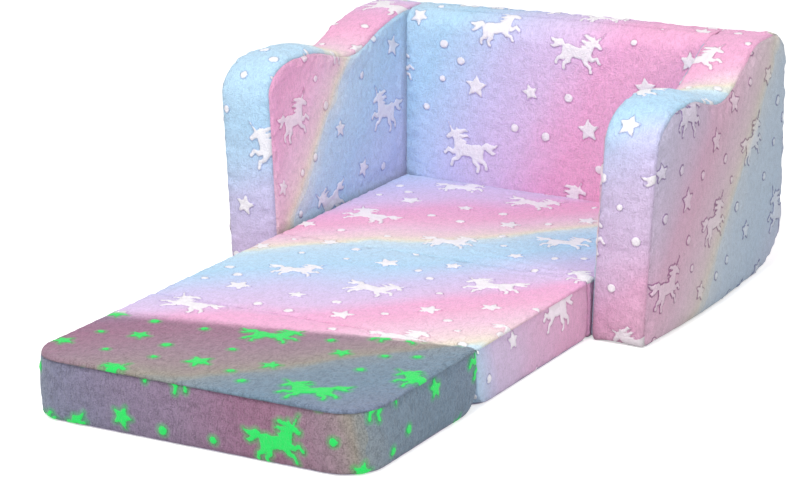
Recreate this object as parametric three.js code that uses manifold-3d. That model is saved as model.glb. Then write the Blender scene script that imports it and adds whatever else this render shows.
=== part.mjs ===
// A child's flip open sofa, opened out into a lounger.
// A U of foam, a backrest with two stepped arms, stands in a sewn plush cover.
// Three mattress panels fold like an accordion: one lies between the arms, two reach out in front.
// Each panel is a foam block in a cover of its own, with a top, a boxing wall and a bottom cloth.
// Millimetres, +X to the sitter's left hand, the open mattress towards -Y, +Z up.
// The origin is on the floor under the middle of the opened sofa.
import * as THREE from "three";
import { mergeVertices } from "three/addons/utils/BufferGeometryUtils.js";
import Module from "manifold-3d";

const wasm = await Module();
wasm.setup();

// Cloth and clearances
const COVER = 3; // plush with its thin batting
const GAP = 0.3; // between neighbouring pieces
const FOAM_EASE = 0.4; // the foam of a leaning arm stands this much further off its side covers
const OVERRUN = 4; // how far a cutter runs past what it cuts

// The U shaped frame
const FRAME_WIDTH = 720;
const FRAME_DEPTH = 531;
const BACK_THICKNESS = 119;
const ARM_THICKNESS = 91;
const ARM_HEIGHT = 354; // at the seams, on the hump of the arm
const SADDLE_DROP = 28; // of the arm before the backrest
const BACK_RISE = 31; // of the backrest above the arms

// The side outline, from the front
const FRONT_TOE_RADIUS = 12;
const ARM_NOSE_RUN = 80;
const ARM_NOSE_RISE = 50;
const HUMP_END = 115;
const SHOULDER_RUN = 176; // from the saddle up to the top of the shoulder
const SHOULDER_FLAT = 44; // from there to the rear seam
const REAR_TOP_RADIUS = 55;
const HEEL_RUN = 91;
const HEEL_RISE = 75;

// How full the arms are stuffed, and how far they lean out at the front
const ARM_CROWN = 9;
const ARM_LEAN = 20;
const LEAN_SOFTENING = 46; // the height below which the lean fades
const ARM_TILT = 3;

// Rounding at the edges of flat cover panels
const EDGE_TURN = 8;
const BACK_BULGE = 5;
const BACK_CROWN_REACH = 90;
const BACK_EDGE_TURN = 11;

// The mattress
const PANEL_EDGE_HEIGHT = 93;
const PANEL_CROWN = 3;
const PANEL_CROWN_REACH = 80;
const PANEL_BULGE = 2;
const LOWER_EDGE_RADIUS = 14;
const UPPER_EDGE_RADIUS = 6;
const TOP_SEAM_DROP = 4; // below the upper edge
const CORNER_RADIUS = 8;
const FRONT_CORNER_RADIUS = 65;
const SECOND_PANEL_LENGTH = 361;
const THIRD_PANEL_LENGTH = 317;

// The two fold seams
const SEAM_TAPE = 1.2;
const SEAT_TAPE_HALF = 4;
const FRONT_TAPE_NEAR = 9.2; // the side sewn to the second panel
const FRONT_TAPE_FAR = 5;
const FRONT_TAPE_LIFT = 0.5;
const SEAT_TAPE_DROP = 0.4;
const TAPE_INSET = 4; // in from the rounded corners

// Zips, all recessed in the thickness of the cover
const SLOT_HEIGHT = 9;
const MATTRESS_ZIP = 220;
const SEAT_ZIP = 400;
const FRAME_ZIP = 460;
const CHAIN_THICKNESS = 1.3;
const SLIDER_LENGTH = 12;
const PULL_LENGTH = 22;
const PULL_WIDTH = 6;
const PULL_THICKNESS = 1.2;
const FRAME_ZIP_HEIGHT = 110;

// Worked out from the above
const OUTER = FRAME_WIDTH / 2;
const INNER = OUTER - ARM_THICKNESS;
const SADDLE_HEIGHT = ARM_HEIGHT - SADDLE_DROP;
const BACK_HEIGHT = ARM_HEIGHT + BACK_RISE;
const BACK_FACE = FRAME_DEPTH - BACK_THICKNESS;
const BACK_LINER = BACK_FACE + COVER;
const REAR_SEAM = FRAME_DEPTH - REAR_TOP_RADIUS;
const SHOULDER_END = REAR_SEAM - SHOULDER_FLAT;
const SADDLE_AT = SHOULDER_END - SHOULDER_RUN;
const HEEL_START = FRAME_DEPTH - HEEL_RUN;
const STRIP_IN = INNER + COVER + GAP;
const STRIP_OUT = OUTER - COVER - GAP;
const PANEL_HALF = INNER - GAP - PANEL_BULGE;
const PANEL_BACK_OFF = PANEL_BULGE + GAP; // each panel's end, back from a fold
const PANEL_TOP = PANEL_EDGE_HEIGHT + PANEL_CROWN;
const REACH = SECOND_PANEL_LENGTH + THIRD_PANEL_LENGTH;
const SEAM_HEIGHT = PANEL_EDGE_HEIGHT - TOP_SEAM_DROP;
const PULL_PROUD = GAP + PULL_THICKNESS;
const MITRE_SHARE = 0.34; // of the cover, by which the covers that meet the floor run on
const BASE_SETBACK = GAP + COVER * MITRE_SHARE;
const MIDDLE = (FRAME_DEPTH + PULL_PROUD - REACH - PANEL_BULGE) / 2;

// Counts
const ARC_STEPS = 3;
const NOSE_STEPS = 5;
const RAMP_STEPS = 5;
const SHOULDER_STEPS = 6;
const WALL_STEPS = 3;
const CORNER_STEPS = 3;
const FRONT_CORNER_STEPS = 7;

// Shares of a width or a depth at which rings are set
const STRIP_SHARES = [0, 0.14, 0.5, 0.86, 1];
const END_SHARES = [0, 1];
const TURN_SHARES = [
  [0, 0],
  [0, 0.4],
  [0.25, 0.8],
  [1, 1],
];
const BULGE_SHARES = [0.25, 0.5, 0.75];
const CAP_SHARES = [0.33, 0.67];
const LOWER_SHARES = [0, 0.09, 0.5];
const UPPER_SHARE = 0.33;
const CROWN_SHARES = [0.36, 0.5];
const BACK_SHARES = [
  [0.2, 0.33],
  [1, 0.67],
];

// A body from rings of points: every ring has as many points.
// An end is a fan round its middle, with rings of its own round a given centre, or a strip of pairs.
function loft(rings, { sheet = false, centre = null } = {}) {
  const count = rings[0].length;
  const points = rings.flat();
  const faces = [];
  for (let k = 0; k + 1 < rings.length; k++) {
    for (let i = 0; i < count; i++) {
      const j = (i + 1) % count;
      const a = k * count + i;
      const b = k * count + j;
      faces.push([a, b, b + count], [a, b + count, a + count]);
    }
  }
  const ends = [
    [0, (a, b, c) => [c, b, a]],
    [rings.length - 1, (a, b, c) => [a, b, c]],
  ];
  for (const [k, turned] of ends) {
    const first = k * count;
    if (sheet) {
      for (let i = 0; i + 1 < count / 2; i++) {
        const [a, b, c, d] = [i, i + 1, count - 2 - i, count - 1 - i].map((v) => first + v);
        faces.push(turned(a, b, c), turned(a, c, d));
      }
    } else {
      const middle = centre ?? new THREE.Box3().setFromPoints(rings[k]).getCenter(new THREE.Vector3());
      middle.x = centre ? rings[k][0].x : middle.x;
      let from = first;
      for (const share of centre ? CAP_SHARES : []) {
        const next = points.length;
        points.push(...rings[k].map((p) => p.clone().lerp(middle, share)));
        for (let i = 0; i < count; i++) {
          const j = (i + 1) % count;
          faces.push(turned(from + i, from + j, next + j), turned(from + i, next + j, next + i));
        }
        from = next;
      }
      points.push(middle.clone());
      for (let i = 0; i < count; i++) {
        faces.push(turned(from + i, from + ((i + 1) % count), points.length - 1));
      }
    }
  }
  return solid(points.flatMap((p) => [p.x, p.y, p.z]), faces);
}

// A closed band, such as a boxing wall: each ring is a closed section, and the rings close up.
function band(sections) {
  const n = sections.length;
  const m = sections[0].length;
  const positions = sections.flat().flatMap((p) => [p.x, p.y, p.z]);
  const faces = [];
  for (let i = 0; i < n; i++) {
    for (let j = 0; j < m; j++) {
      const a = i * m + j;
      const b = i * m + ((j + 1) % m);
      const c = ((i + 1) % n) * m + j;
      const d = ((i + 1) % n) * m + ((j + 1) % m);
      faces.push([a, b, d], [a, d, c]);
    }
  }
  return solid(positions, faces);
}

// A body from points and triangles, turned inside out if need be.
function solid(positions, faces) {
  const make = (list) =>
    new wasm.Manifold(
      new wasm.Mesh({
        numProp: 3,
        vertProperties: new Float32Array(positions),
        triVerts: new Uint32Array(list.flat()),
      }),
    );
  const made = make(faces);
  return made.volume() < 0 ? make(faces.map(([a, b, c]) => [c, b, a])) : made;
}

// A three.js geometry as a body.
function bodyOf(geometry) {
  geometry.deleteAttribute("normal");
  geometry.deleteAttribute("uv");
  const merged = mergeVertices(geometry);
  const list = Array.from(merged.index.array);
  const faces = [];
  for (let i = 0; i < list.length; i += 3) faces.push(list.slice(i, i + 3));
  return solid(Array.from(merged.attributes.position.array), faces);
}

function box(from, to) {
  const size = new THREE.Vector3().subVectors(to, from);
  const geometry = new THREE.BoxGeometry(size.x, size.y, size.z);
  const centre = new THREE.Vector3().addVectors(from, to).multiplyScalar(1 / 2);
  geometry.translate(centre.x, centre.y, centre.z);
  return bodyOf(geometry);
}

const at = (x, y, z) => new THREE.Vector3(x, y, z);

// A body as a geometry, bent by the given function.
function geometryOf(body, bend = (p) => p) {
  const mesh = body.getMesh();
  const positions = [];
  for (let i = 0; i < mesh.vertProperties.length; i += mesh.numProp) {
    const p = bend(at(...mesh.vertProperties.slice(i, i + 3)));
    positions.push(p.x, p.y, p.z);
  }
  const geometry = new THREE.BufferGeometry();
  geometry.setAttribute("position", new THREE.Float32BufferAttribute(positions, 3));
  geometry.setIndex(Array.from(mesh.triVerts));
  return geometry;
}

// The side outline of the frame in three runs: up the front and over the top, down the rear, and below.
const quarter = (step, steps) => (Math.PI / 2) * (step / steps);
const ease = (u) => (1 - Math.cos(Math.PI * u)) / 2;

function frontRun() {
  const run = [];
  for (let k = 0; k <= ARC_STEPS; k++) {
    const t = quarter(k, ARC_STEPS);
    const y = FRONT_TOE_RADIUS * (1 - Math.sin(t));
    run.push(new THREE.Vector2(y, FRONT_TOE_RADIUS * (1 - Math.cos(t))));
  }
  const noseStart = ARM_HEIGHT - ARM_NOSE_RISE;
  for (let k = 1; k < WALL_STEPS; k++) {
    const z = FRONT_TOE_RADIUS + ((noseStart - FRONT_TOE_RADIUS) * k) / WALL_STEPS;
    run.push(new THREE.Vector2(0, z));
  }
  for (let k = 0; k <= NOSE_STEPS; k++) {
    const t = quarter(k, NOSE_STEPS);
    const y = ARM_NOSE_RUN * (1 - Math.cos(t));
    run.push(new THREE.Vector2(y, noseStart + ARM_NOSE_RISE * Math.sin(t)));
  }
  for (let k = 0; k <= RAMP_STEPS; k++) {
    const y = HUMP_END + ((SADDLE_AT - HUMP_END) * k) / RAMP_STEPS;
    const fall = (ARM_HEIGHT - SADDLE_HEIGHT) * ease(k / RAMP_STEPS);
    run.push(new THREE.Vector2(y, ARM_HEIGHT - fall));
  }
  for (let k = 1; k <= SHOULDER_STEPS; k++) {
    const y = SADDLE_AT + ((SHOULDER_END - SADDLE_AT) * k) / SHOULDER_STEPS;
    const rise = (BACK_HEIGHT - SADDLE_HEIGHT) * ease(k / SHOULDER_STEPS);
    run.push(new THREE.Vector2(y, SADDLE_HEIGHT + rise));
  }
  run.push(new THREE.Vector2(REAR_SEAM, BACK_HEIGHT));
  return run;
}

function rearRun() {
  const run = [];
  for (let k = 0; k <= ARC_STEPS + 1; k++) {
    const t = quarter(k, ARC_STEPS + 1);
    const y = REAR_SEAM + REAR_TOP_RADIUS * Math.sin(t);
    run.push(new THREE.Vector2(y, BACK_HEIGHT - REAR_TOP_RADIUS * (1 - Math.cos(t))));
  }
  for (let k = 0; k <= ARC_STEPS + 1; k++) {
    const t = quarter(k, ARC_STEPS + 1);
    const y = FRAME_DEPTH - HEEL_RUN * (1 - Math.cos(t));
    run.push(new THREE.Vector2(y, HEEL_RISE * (1 - Math.sin(t))));
  }
  return run;
}

// The outward normals of a line of points; the line runs clockwise seen from +X.
function normalsOf(line, closed) {
  const n = line.length;
  return line.map((p, i) => {
    const before = closed ? line[(i + n - 1) % n] : line[Math.max(i - 1, 0)];
    const after = closed ? line[(i + 1) % n] : line[Math.min(i + 1, n - 1)];
    const a = new THREE.Vector2().subVectors(p, before).normalize();
    const b = new THREE.Vector2().subVectors(after, p).normalize();
    const along = new THREE.Vector2().addVectors(a, b).normalize();
    const stretch = 1 / Math.max(along.dot(b.lengthSq() ? b : a), 1 / 2);
    return new THREE.Vector2(-along.y, along.x).multiplyScalar(stretch);
  });
}

// Each point moved outwards along its normal by its own amount.
function moved(line, amounts, closed = false) {
  const normals = normalsOf(line, closed);
  return line.map((p, i) => p.clone().addScaledVector(normals[i], amounts[i]));
}

const FRONT_RUN = frontRun();
const REAR_RUN = rearRun();
const OUTLINE = [...FRONT_RUN, ...REAR_RUN.slice(1)];
const TOP_SEAM = FRONT_RUN.length - 1; // the outline's point where the strip meets the rear cover

// How much of the arm's crown is left at a point of the side outline
function crownShare(p) {
  const nose = Math.min(1, (1 + p.x / ARM_NOSE_RUN) / 2);
  const rear = (SHOULDER_END - p.x) / (SHOULDER_END - SADDLE_AT);
  const toe = p.y / (ARM_HEIGHT - ARM_NOSE_RISE);
  return nose * Math.max(0, Math.min(1, rear)) * Math.max(0, Math.min(1, toe * 2));
}
const crownAcross = (u) => ARM_CROWN * (1 - (2 * u - 1) ** 2);

// The arms lean out towards the front and the top.
function lean(side) {
  return (p) => {
    const front = Math.max(0, 1 - p.y / BACK_FACE);
    const up = Math.max(0, p.z) / ARM_HEIGHT;
    const soft = p.z / (p.z + LEAN_SOFTENING);
    const across = (p.x - (INNER + OUTER) / 2) / ARM_THICKNESS;
    return at(
      side * (p.x + ARM_LEAN * up * soft * front),
      p.y,
      p.z - ARM_TILT * 2 * across * up * soft * front,
    );
  };
}

// A bent sheet over part of the side outline, one cover thick, between two widths.
function bentSheet(first, last, cutBack, from, to, shares, crown) {
  const rings = shares.map((u) => {
    const x = from + (to - from) * u;
    const rise = OUTLINE.map((p) => crown(u) * crownShare(p));
    const outer = moved(OUTLINE, rise, true).slice(first, last + 1);
    const inner = moved(OUTLINE, rise.map((r) => r - COVER), true).slice(first, last + 1);
    for (const line of [outer, inner]) line[line.length - 1].x -= cutBack;
    return [...outer, ...inner.reverse()].map((p) => at(x, p.x, p.y));
  });
  return loft(rings, { sheet: true });
}

// A flat cover panel in the side outline, one cover thick, with its edge turned over.
function facePlate(outline, seam, face) {
  const rings = TURN_SHARES.map(([inShare, outShare]) => {
    const amounts = outline.map(() => -EDGE_TURN * inShare);
    const x = seam + (face - seam) * outShare;
    return moved(outline, amounts, true).reverse().map((p) => at(x, p.x, p.y));
  });
  return loft(rings, { centre: at(0, BACK_FACE / 2, ARM_HEIGHT / 2) });
}

// The part of the side outline in front of the backrest, closed down its face.
function innerOutline() {
  const kept = FRONT_RUN.filter((p) => p.x < BACK_LINER - OVERRUN);
  const share = (BACK_LINER - SADDLE_AT) / (SHOULDER_END - SADDLE_AT);
  const top = SADDLE_HEIGHT + (BACK_HEIGHT - SADDLE_HEIGHT) * ease(share);
  return [...kept, new THREE.Vector2(BACK_LINER, top), new THREE.Vector2(BACK_LINER, 0)];
}

// The foam of an arm fills its cover up to the gap.
function armFoam() {
  const rings = STRIP_SHARES.map((u) => {
    const across = STRIP_IN + (STRIP_OUT - STRIP_IN) * u;
    const x = THREE.MathUtils.clamp(across, STRIP_IN + FOAM_EASE, STRIP_OUT - FOAM_EASE);
    const amounts = OUTLINE.map((p) => crownAcross(u) * crownShare(p) - COVER - GAP);
    return moved(OUTLINE, amounts, true).reverse().map((p) => at(x, p.x, p.y));
  });
  return loft(rings, { centre: at(0, BACK_FACE / 2, ARM_HEIGHT / 2) });
}

// A rectangle with rounded corners, drawn in by the given amount.
function roundedPlan(low, high, frontRadius, rearRadius, inset, frontSteps = CORNER_STEPS) {
  const corners = [
    [high.x, low.y, -1, 1, frontRadius, frontSteps, -Math.PI / 2],
    [high.x, high.y, -1, -1, rearRadius, CORNER_STEPS, 0],
    [low.x, high.y, 1, -1, rearRadius, CORNER_STEPS, Math.PI / 2],
    [low.x, low.y, 1, 1, frontRadius, frontSteps, Math.PI],
  ];
  return corners.flatMap(([x, y, inX, inY, full, steps, start]) => {
    const radius = Math.max(full - inset, GAP);
    const cx = x + inX * (inset + radius);
    const cy = y + inY * (inset + radius);
    return Array.from({ length: steps + 1 }, (_, k) => {
      const t = start + quarter(k, steps);
      return new THREE.Vector2(cx + radius * Math.cos(t), cy + radius * Math.sin(t));
    });
  });
}

// How far the wall of a mattress panel is drawn in at a height.
function wallInset(z) {
  const lower = LOWER_EDGE_RADIUS;
  const upper = UPPER_EDGE_RADIUS;
  const shoulder = PANEL_EDGE_HEIGHT - upper;
  if (z < lower) return lower - Math.sqrt(Math.max(0, lower ** 2 - (lower - z) ** 2));
  if (z > shoulder) return upper - Math.sqrt(Math.max(0, upper ** 2 - (z - shoulder) ** 2));
  return -PANEL_BULGE * Math.sin((Math.PI * (z - lower)) / (shoulder - lower));
}

// One mattress panel: its foam and its three cover pieces.
function panelBodies(rear, front, frontRadius, frontSteps) {
  const low = new THREE.Vector2(-PANEL_HALF, front);
  const high = new THREE.Vector2(PANEL_HALF, rear);
  const ring = (inset, z) =>
    roundedPlan(low, high, frontRadius, CORNER_RADIUS, inset, frontSteps).map((p) => at(p.x, p.y, z));
  const shoulder = PANEL_EDGE_HEIGHT - UPPER_EDGE_RADIUS;
  const middles = BULGE_SHARES.map((s) => LOWER_EDGE_RADIUS + (shoulder - LOWER_EDGE_RADIUS) * s);
  const corner = [LOWER_EDGE_RADIUS / 2, LOWER_EDGE_RADIUS];
  const wall = [COVER + GAP, ...corner, ...middles, shoulder, SEAM_HEIGHT];
  const outside = wall.map((z) => [wallInset(z), z]);
  const inside = wall.map((z) => [wallInset(z) + COVER, z]).reverse();
  const rings = [...outside, ...inside].map(([inset, z]) => ring(inset, z));
  const boxing = band(rings[0].map((_, i) => rings.map((r) => r[i])));
  const lower = LOWER_SHARES.map((s) => LOWER_EDGE_RADIUS * s).filter((z) => z < COVER);
  const bottom = loft([...lower, COVER].map((z) => ring(wallInset(z), z)));
  const edge = PANEL_EDGE_HEIGHT - UPPER_EDGE_RADIUS * UPPER_SHARE;
  const upper = [SEAM_HEIGHT + GAP, edge, PANEL_EDGE_HEIGHT];
  const [crownIn, crownUp] = CROWN_SHARES;
  const top = loft([
    ...upper.map((z) => ring(wallInset(z), z)),
    ring(PANEL_CROWN_REACH * crownIn, PANEL_EDGE_HEIGHT + PANEL_CROWN * crownUp),
    ring(PANEL_CROWN_REACH, PANEL_TOP),
  ]);
  const core = [wall[0] + GAP, ...wall.slice(1, -1), SEAM_HEIGHT - GAP];
  const foam = loft(core.map((z) => ring(wallInset(z) + COVER + GAP, z)));
  return { foam, boxing, bottom, top };
}

// A zip in a wall one cover thick. Along it is x, out of the wall is y from its inner face, and up is z.
function zipBodies(length, hanging) {
  const half = SLOT_HEIGHT / 2 - GAP;
  const face = CHAIN_THICKNESS + GAP;
  const start = -length / 2 + GAP;
  const slot = box(
    at(-length / 2, -OVERRUN, -SLOT_HEIGHT / 2),
    at(length / 2, OVERRUN + COVER, SLOT_HEIGHT / 2),
  );
  const chain = box(at(start, 0, -half), at(-start, CHAIN_THICKNESS, half));
  const slider = box(at(start, face, -half), at(start + SLIDER_LENGTH, COVER, half));
  const pull = hanging
    ? box(
        at(start + (SLIDER_LENGTH - PULL_WIDTH) / 2, COVER + GAP, half - PULL_LENGTH),
        at(start + (SLIDER_LENGTH + PULL_WIDTH) / 2, COVER + PULL_PROUD, half),
      )
    : box(
        at(start + SLIDER_LENGTH + GAP, face, -PULL_WIDTH / 2),
        at(start + SLIDER_LENGTH + GAP + PULL_LENGTH, COVER, PULL_WIDTH / 2),
      );
  return { slot, chain, slider, pull };
}

const root = new THREE.Group();
root.position.y = -MIDDLE;

const PLUSH_BLUE = new THREE.Color(0xa9cdf0);
const PLUSH_LILAC = new THREE.Color(0xc9b4e4);
const PLUSH_PINK = new THREE.Color(0xf3a9cc);
const PLUSH_DUSK = new THREE.Color(0x8d7f95);
const FOAM = new THREE.Color(0xf2ead2);
const TAPE = new THREE.Color(0xd9c6e6);
const METAL = new THREE.Color(0xb9bcc4);

const plush = (color) => new THREE.MeshStandardMaterial({ color, roughness: 0.95, metalness: 0 });
const foamStuff = () => new THREE.MeshStandardMaterial({ color: FOAM, roughness: 0.9, metalness: 0 });
const metal = () => new THREE.MeshStandardMaterial({ color: METAL, roughness: 0.35, metalness: 1 });

function add(name, geometry, material, parent = root) {
  const mesh = new THREE.Mesh(geometry, material);
  mesh.name = name;
  parent.add(mesh);
  return mesh;
}

// The arms: a foam slab, a cover panel on each side and the strip over the front and the top
const strip = bentSheet(0, TOP_SEAM, GAP, STRIP_IN, STRIP_OUT, STRIP_SHARES, crownAcross);
const outerPlate = facePlate(OUTLINE, OUTER - COVER, OUTER);
const innerPlate = facePlate(innerOutline(), INNER + COVER, INNER);
const slab = armFoam();
const baseStrip = box(
  at(STRIP_IN, FRONT_TOE_RADIUS + BASE_SETBACK, 0),
  at(STRIP_OUT, HEEL_START - BASE_SETBACK, COVER),
);
for (const [name, side] of [["left_arm", -1], ["right_arm", 1]]) {
  const bend = lean(side);
  const put = (node, body, material) => {
    const geometry = geometryOf(body, bend);
    if (side < 0) geometry.setIndex(Array.from(geometry.index.array).reverse());
    add(name + "_" + node, geometry, material);
  };
  put("foam", slab, foamStuff());
  put("gusset", strip, plush(PLUSH_BLUE));
  put("outer_cover", outerPlate, plush(PLUSH_PINK));
  put("inner_cover", innerPlate, plush(PLUSH_PINK));
  put("base_cloth", baseStrip, plush(PLUSH_LILAC));
}

// The backrest: foam, a padded front, a strip along the top, a rear cover and its base cloth
const backProfile = [
  new THREE.Vector2(BACK_LINER + GAP, COVER + GAP),
  new THREE.Vector2(BACK_LINER + GAP, BACK_HEIGHT - COVER - GAP),
  ...moved(OUTLINE, OUTLINE.map(() => -COVER - GAP), true).slice(TOP_SEAM),
];
add(
  "back_foam",
  geometryOf(
    loft([-INNER - COVER, INNER + COVER].map((x) => backProfile.map((p) => at(x, p.x, p.y)))),
  ),
  foamStuff(),
);
const backRings = [
  [0, BACK_LINER],
  [0, BACK_LINER - COVER / 2],
  ...BACK_SHARES.map(([turn, bulge]) => [BACK_EDGE_TURN * turn, BACK_FACE - BACK_BULGE * bulge]),
  [BACK_CROWN_REACH, BACK_FACE - BACK_BULGE],
].map(([inset, y]) =>
  roundedPlan(
    new THREE.Vector2(-INNER + GAP, 0),
    new THREE.Vector2(INNER - GAP, BACK_HEIGHT),
    CORNER_RADIUS,
    CORNER_RADIUS,
    inset,
  ).map((p) => at(p.x, y, p.y)),
);
add("back_front_cover", geometryOf(loft(backRings)), plush(PLUSH_LILAC));
add(
  "back_top_strip",
  geometryOf(
    box(
      at(-INNER - COVER, BACK_LINER + GAP, BACK_HEIGHT - COVER),
      at(INNER + COVER, REAR_SEAM - GAP, BACK_HEIGHT),
    ),
  ),
  plush(PLUSH_PINK),
);
add(
  "back_base_cloth",
  geometryOf(
    box(at(-INNER - COVER, BACK_LINER + GAP, 0), at(INNER + COVER, HEEL_START - BASE_SETBACK, COVER)),
  ),
  plush(PLUSH_LILAC),
);

// Each zip is placed by a turned group; its slot is cut from the wall that holds it.
function addZip(prefix, length, hanging, position, turn) {
  const holder = new THREE.Group();
  holder.position.copy(position);
  holder.rotation.z = turn;
  root.add(holder);
  const zip = zipBodies(length, hanging);
  add(prefix + "_zip", geometryOf(zip.chain), plush(TAPE), holder);
  add(prefix + "_zip_slider", geometryOf(zip.slider), metal(), holder);
  add(prefix + "_zip_pull", geometryOf(zip.pull), metal(), holder);
  holder.updateMatrix();
  return bodyOf(geometryOf(zip.slot).applyMatrix4(holder.matrix));
}

const rearWall = bentSheet(TOP_SEAM, OUTLINE.length - 1, 0, -STRIP_OUT, STRIP_OUT, END_SHARES, () => 0);
const rearSlot = addZip("frame", FRAME_ZIP, true, at(0, FRAME_DEPTH - COVER, FRAME_ZIP_HEIGHT), 0);
add("back_rear_cover", geometryOf(rearWall.subtract(rearSlot)), plush(PLUSH_BLUE));

// The mattress panels, from the backrest to the front
const seatRear = BACK_FACE - BACK_BULGE - PANEL_BACK_OFF;
const secondRear = -PANEL_BACK_OFF;
const secondFront = -SECOND_PANEL_LENGTH + PANEL_BACK_OFF;
const thirdRear = -SECOND_PANEL_LENGTH - PANEL_BACK_OFF;
const zipHeight = PANEL_EDGE_HEIGHT / 2;
const sideWall = -PANEL_HALF - PANEL_BULGE + COVER;
const panels = [
  ["seat_panel", seatRear, PANEL_BACK_OFF, CORNER_RADIUS, CORNER_STEPS, PLUSH_LILAC],
  ["second_panel", secondRear, secondFront, CORNER_RADIUS, CORNER_STEPS, PLUSH_PINK],
  ["third_panel", thirdRear, -REACH, FRONT_CORNER_RADIUS, FRONT_CORNER_STEPS, PLUSH_DUSK],
];
for (const [name, rear, front, radius, steps, color] of panels) {
  const bodies = panelBodies(rear, front, radius, steps);
  const seat = name === "seat_panel";
  const place = seat
    ? at(0, rear + PANEL_BULGE - COVER, zipHeight)
    : at(sideWall, (rear + front) / 2, zipHeight);
  const slot = addZip(
    name,
    seat ? SEAT_ZIP : MATTRESS_ZIP,
    false,
    place,
    seat ? 0 : Math.PI / 2,
  );
  add(name + "_foam", geometryOf(bodies.foam), foamStuff());
  add(name + "_boxing", geometryOf(bodies.boxing.subtract(slot)), plush(color));
  add(name + "_top", geometryOf(bodies.top), plush(color));
  add(name + "_bottom", geometryOf(bodies.bottom), plush(color));
}

// The tapes sewn along the two folds: one high between seat and second panel, one low at the third
const tapeEnd = PANEL_HALF - CORNER_RADIUS - TAPE_INSET;
const seatTapeTop = PANEL_EDGE_HEIGHT - SEAT_TAPE_DROP;
add(
  "seat_fold_tape",
  geometryOf(
    box(at(-tapeEnd, -SEAT_TAPE_HALF, seatTapeTop - SEAM_TAPE), at(tapeEnd, SEAT_TAPE_HALF, seatTapeTop)),
  ),
  plush(TAPE),
);
add(
  "front_fold_tape",
  geometryOf(
    box(
      at(-tapeEnd, -SECOND_PANEL_LENGTH - FRONT_TAPE_FAR, FRONT_TAPE_LIFT),
      at(tapeEnd, -SECOND_PANEL_LENGTH + FRONT_TAPE_NEAR, FRONT_TAPE_LIFT + SEAM_TAPE),
    ),
  ),
  plush(TAPE),
);

export default root;
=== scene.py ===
"""A child's flip open sofa, opened out into a lounger, in embossed plush with a diagonal rainbow print.

Each cover is a sheet of plush with rolled edges, laid over the form that the frame gives.
Two covers meet where their rolled edges cross, which makes the sewn groove between them.
Metres, +X to the sitter's left hand, the open mattress towards -Y, +Z up.
In names, left and right are as seen from the front, so that the left arm lies at -X.
"""

import itertools
import math
import random

import bpy
import numpy as np
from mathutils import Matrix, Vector


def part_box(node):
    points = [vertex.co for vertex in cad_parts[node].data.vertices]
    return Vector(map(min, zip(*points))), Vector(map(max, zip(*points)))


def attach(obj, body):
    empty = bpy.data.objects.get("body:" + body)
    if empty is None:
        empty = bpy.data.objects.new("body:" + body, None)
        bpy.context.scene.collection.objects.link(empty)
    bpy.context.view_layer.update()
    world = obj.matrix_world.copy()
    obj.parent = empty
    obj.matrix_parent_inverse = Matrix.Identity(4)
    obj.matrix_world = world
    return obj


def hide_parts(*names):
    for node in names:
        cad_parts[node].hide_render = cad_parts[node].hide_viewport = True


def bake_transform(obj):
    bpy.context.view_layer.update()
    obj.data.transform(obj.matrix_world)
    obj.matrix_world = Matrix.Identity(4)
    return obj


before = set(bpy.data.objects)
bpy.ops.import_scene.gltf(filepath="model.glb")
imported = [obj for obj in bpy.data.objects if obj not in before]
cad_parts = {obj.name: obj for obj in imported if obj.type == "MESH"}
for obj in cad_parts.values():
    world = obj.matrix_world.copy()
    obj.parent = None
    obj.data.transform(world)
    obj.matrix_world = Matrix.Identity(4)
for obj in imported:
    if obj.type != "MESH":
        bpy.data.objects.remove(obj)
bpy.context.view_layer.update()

MM = 0.001

# The camera of the photograph, and the light
CAMERA_PLACE = (2.0646, -3.7702, 1.3968)
CAMERA_DOWN, CAMERA_ROUND, CAMERA_LENS = 16.49, 28.85, 134.4
LAMPS = (
    ("key", (0.1, -2.5, 3.7), 2.2, 122, (1.0, 0.995, 0.985)),
    ("fill", (3.0, -1.2, 1.9), 2.0, 27, (1, 1, 1)),
)
LAMP_AIM = Vector((0, 0, 0.15))
WORLD_STRENGTH, FLOOR_LIFT = 0.56, 0.55
WHITE = (1, 1, 1, 1)

# Sizes read from the frame
INNER, ARM_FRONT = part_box("right_arm_inner_cover")[0][:2]
COVER = 3 * MM
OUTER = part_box("right_arm_outer_cover")[0].x + COVER
REAR_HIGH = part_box("back_rear_cover")[1]
DEPTH, BACK_HEIGHT = REAR_HIGH.y - ARM_FRONT, REAR_HIGH.z
BACK_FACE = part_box("back_front_cover")[1].y - COVER - ARM_FRONT

# The side outline, as in the frame but for a rounder heel
NOSE_RUN, NOSE_RISE, HUMP_END = 80 * MM, 50 * MM, 115 * MM
ARM_HEIGHT, SADDLE_HEIGHT = 354 * MM, 326 * MM
SADDLE_AT, SHOULDER_END = 256 * MM, 432 * MM
REAR_TOP_RADIUS = 55 * MM
TOE_RADIUS = 12 * MM
HEEL_RUN, HEEL_RISE = 107 * MM, 77 * MM
REAR_SEAM = DEPTH - REAR_TOP_RADIUS
HEEL_START = DEPTH - HEEL_RUN
ARM_LEAN, LEAN_SOFTENING, ARM_TILT = 20 * MM, 46 * MM, 6 * MM

# The sag of the stuffed backrest, and how early the left arm's shoulder rises
SAG_AT = (-0.357, -0.272, 0.0, 0.272, 0.357)
SAG_BY = (-15 * MM, -13 * MM, -5 * MM, -2 * MM, 0.0)
SAG_HEIGHT, SAG_HEIGHT_SPAN, SAG_DEPTH, SAG_DEPTH_SPAN = 0.25, 0.10, 0.31, 0.13
LEFT_RISE, LEFT_RISE_AT, LEFT_RISE_REACH = 8 * MM, 0.305, 0.055

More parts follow.
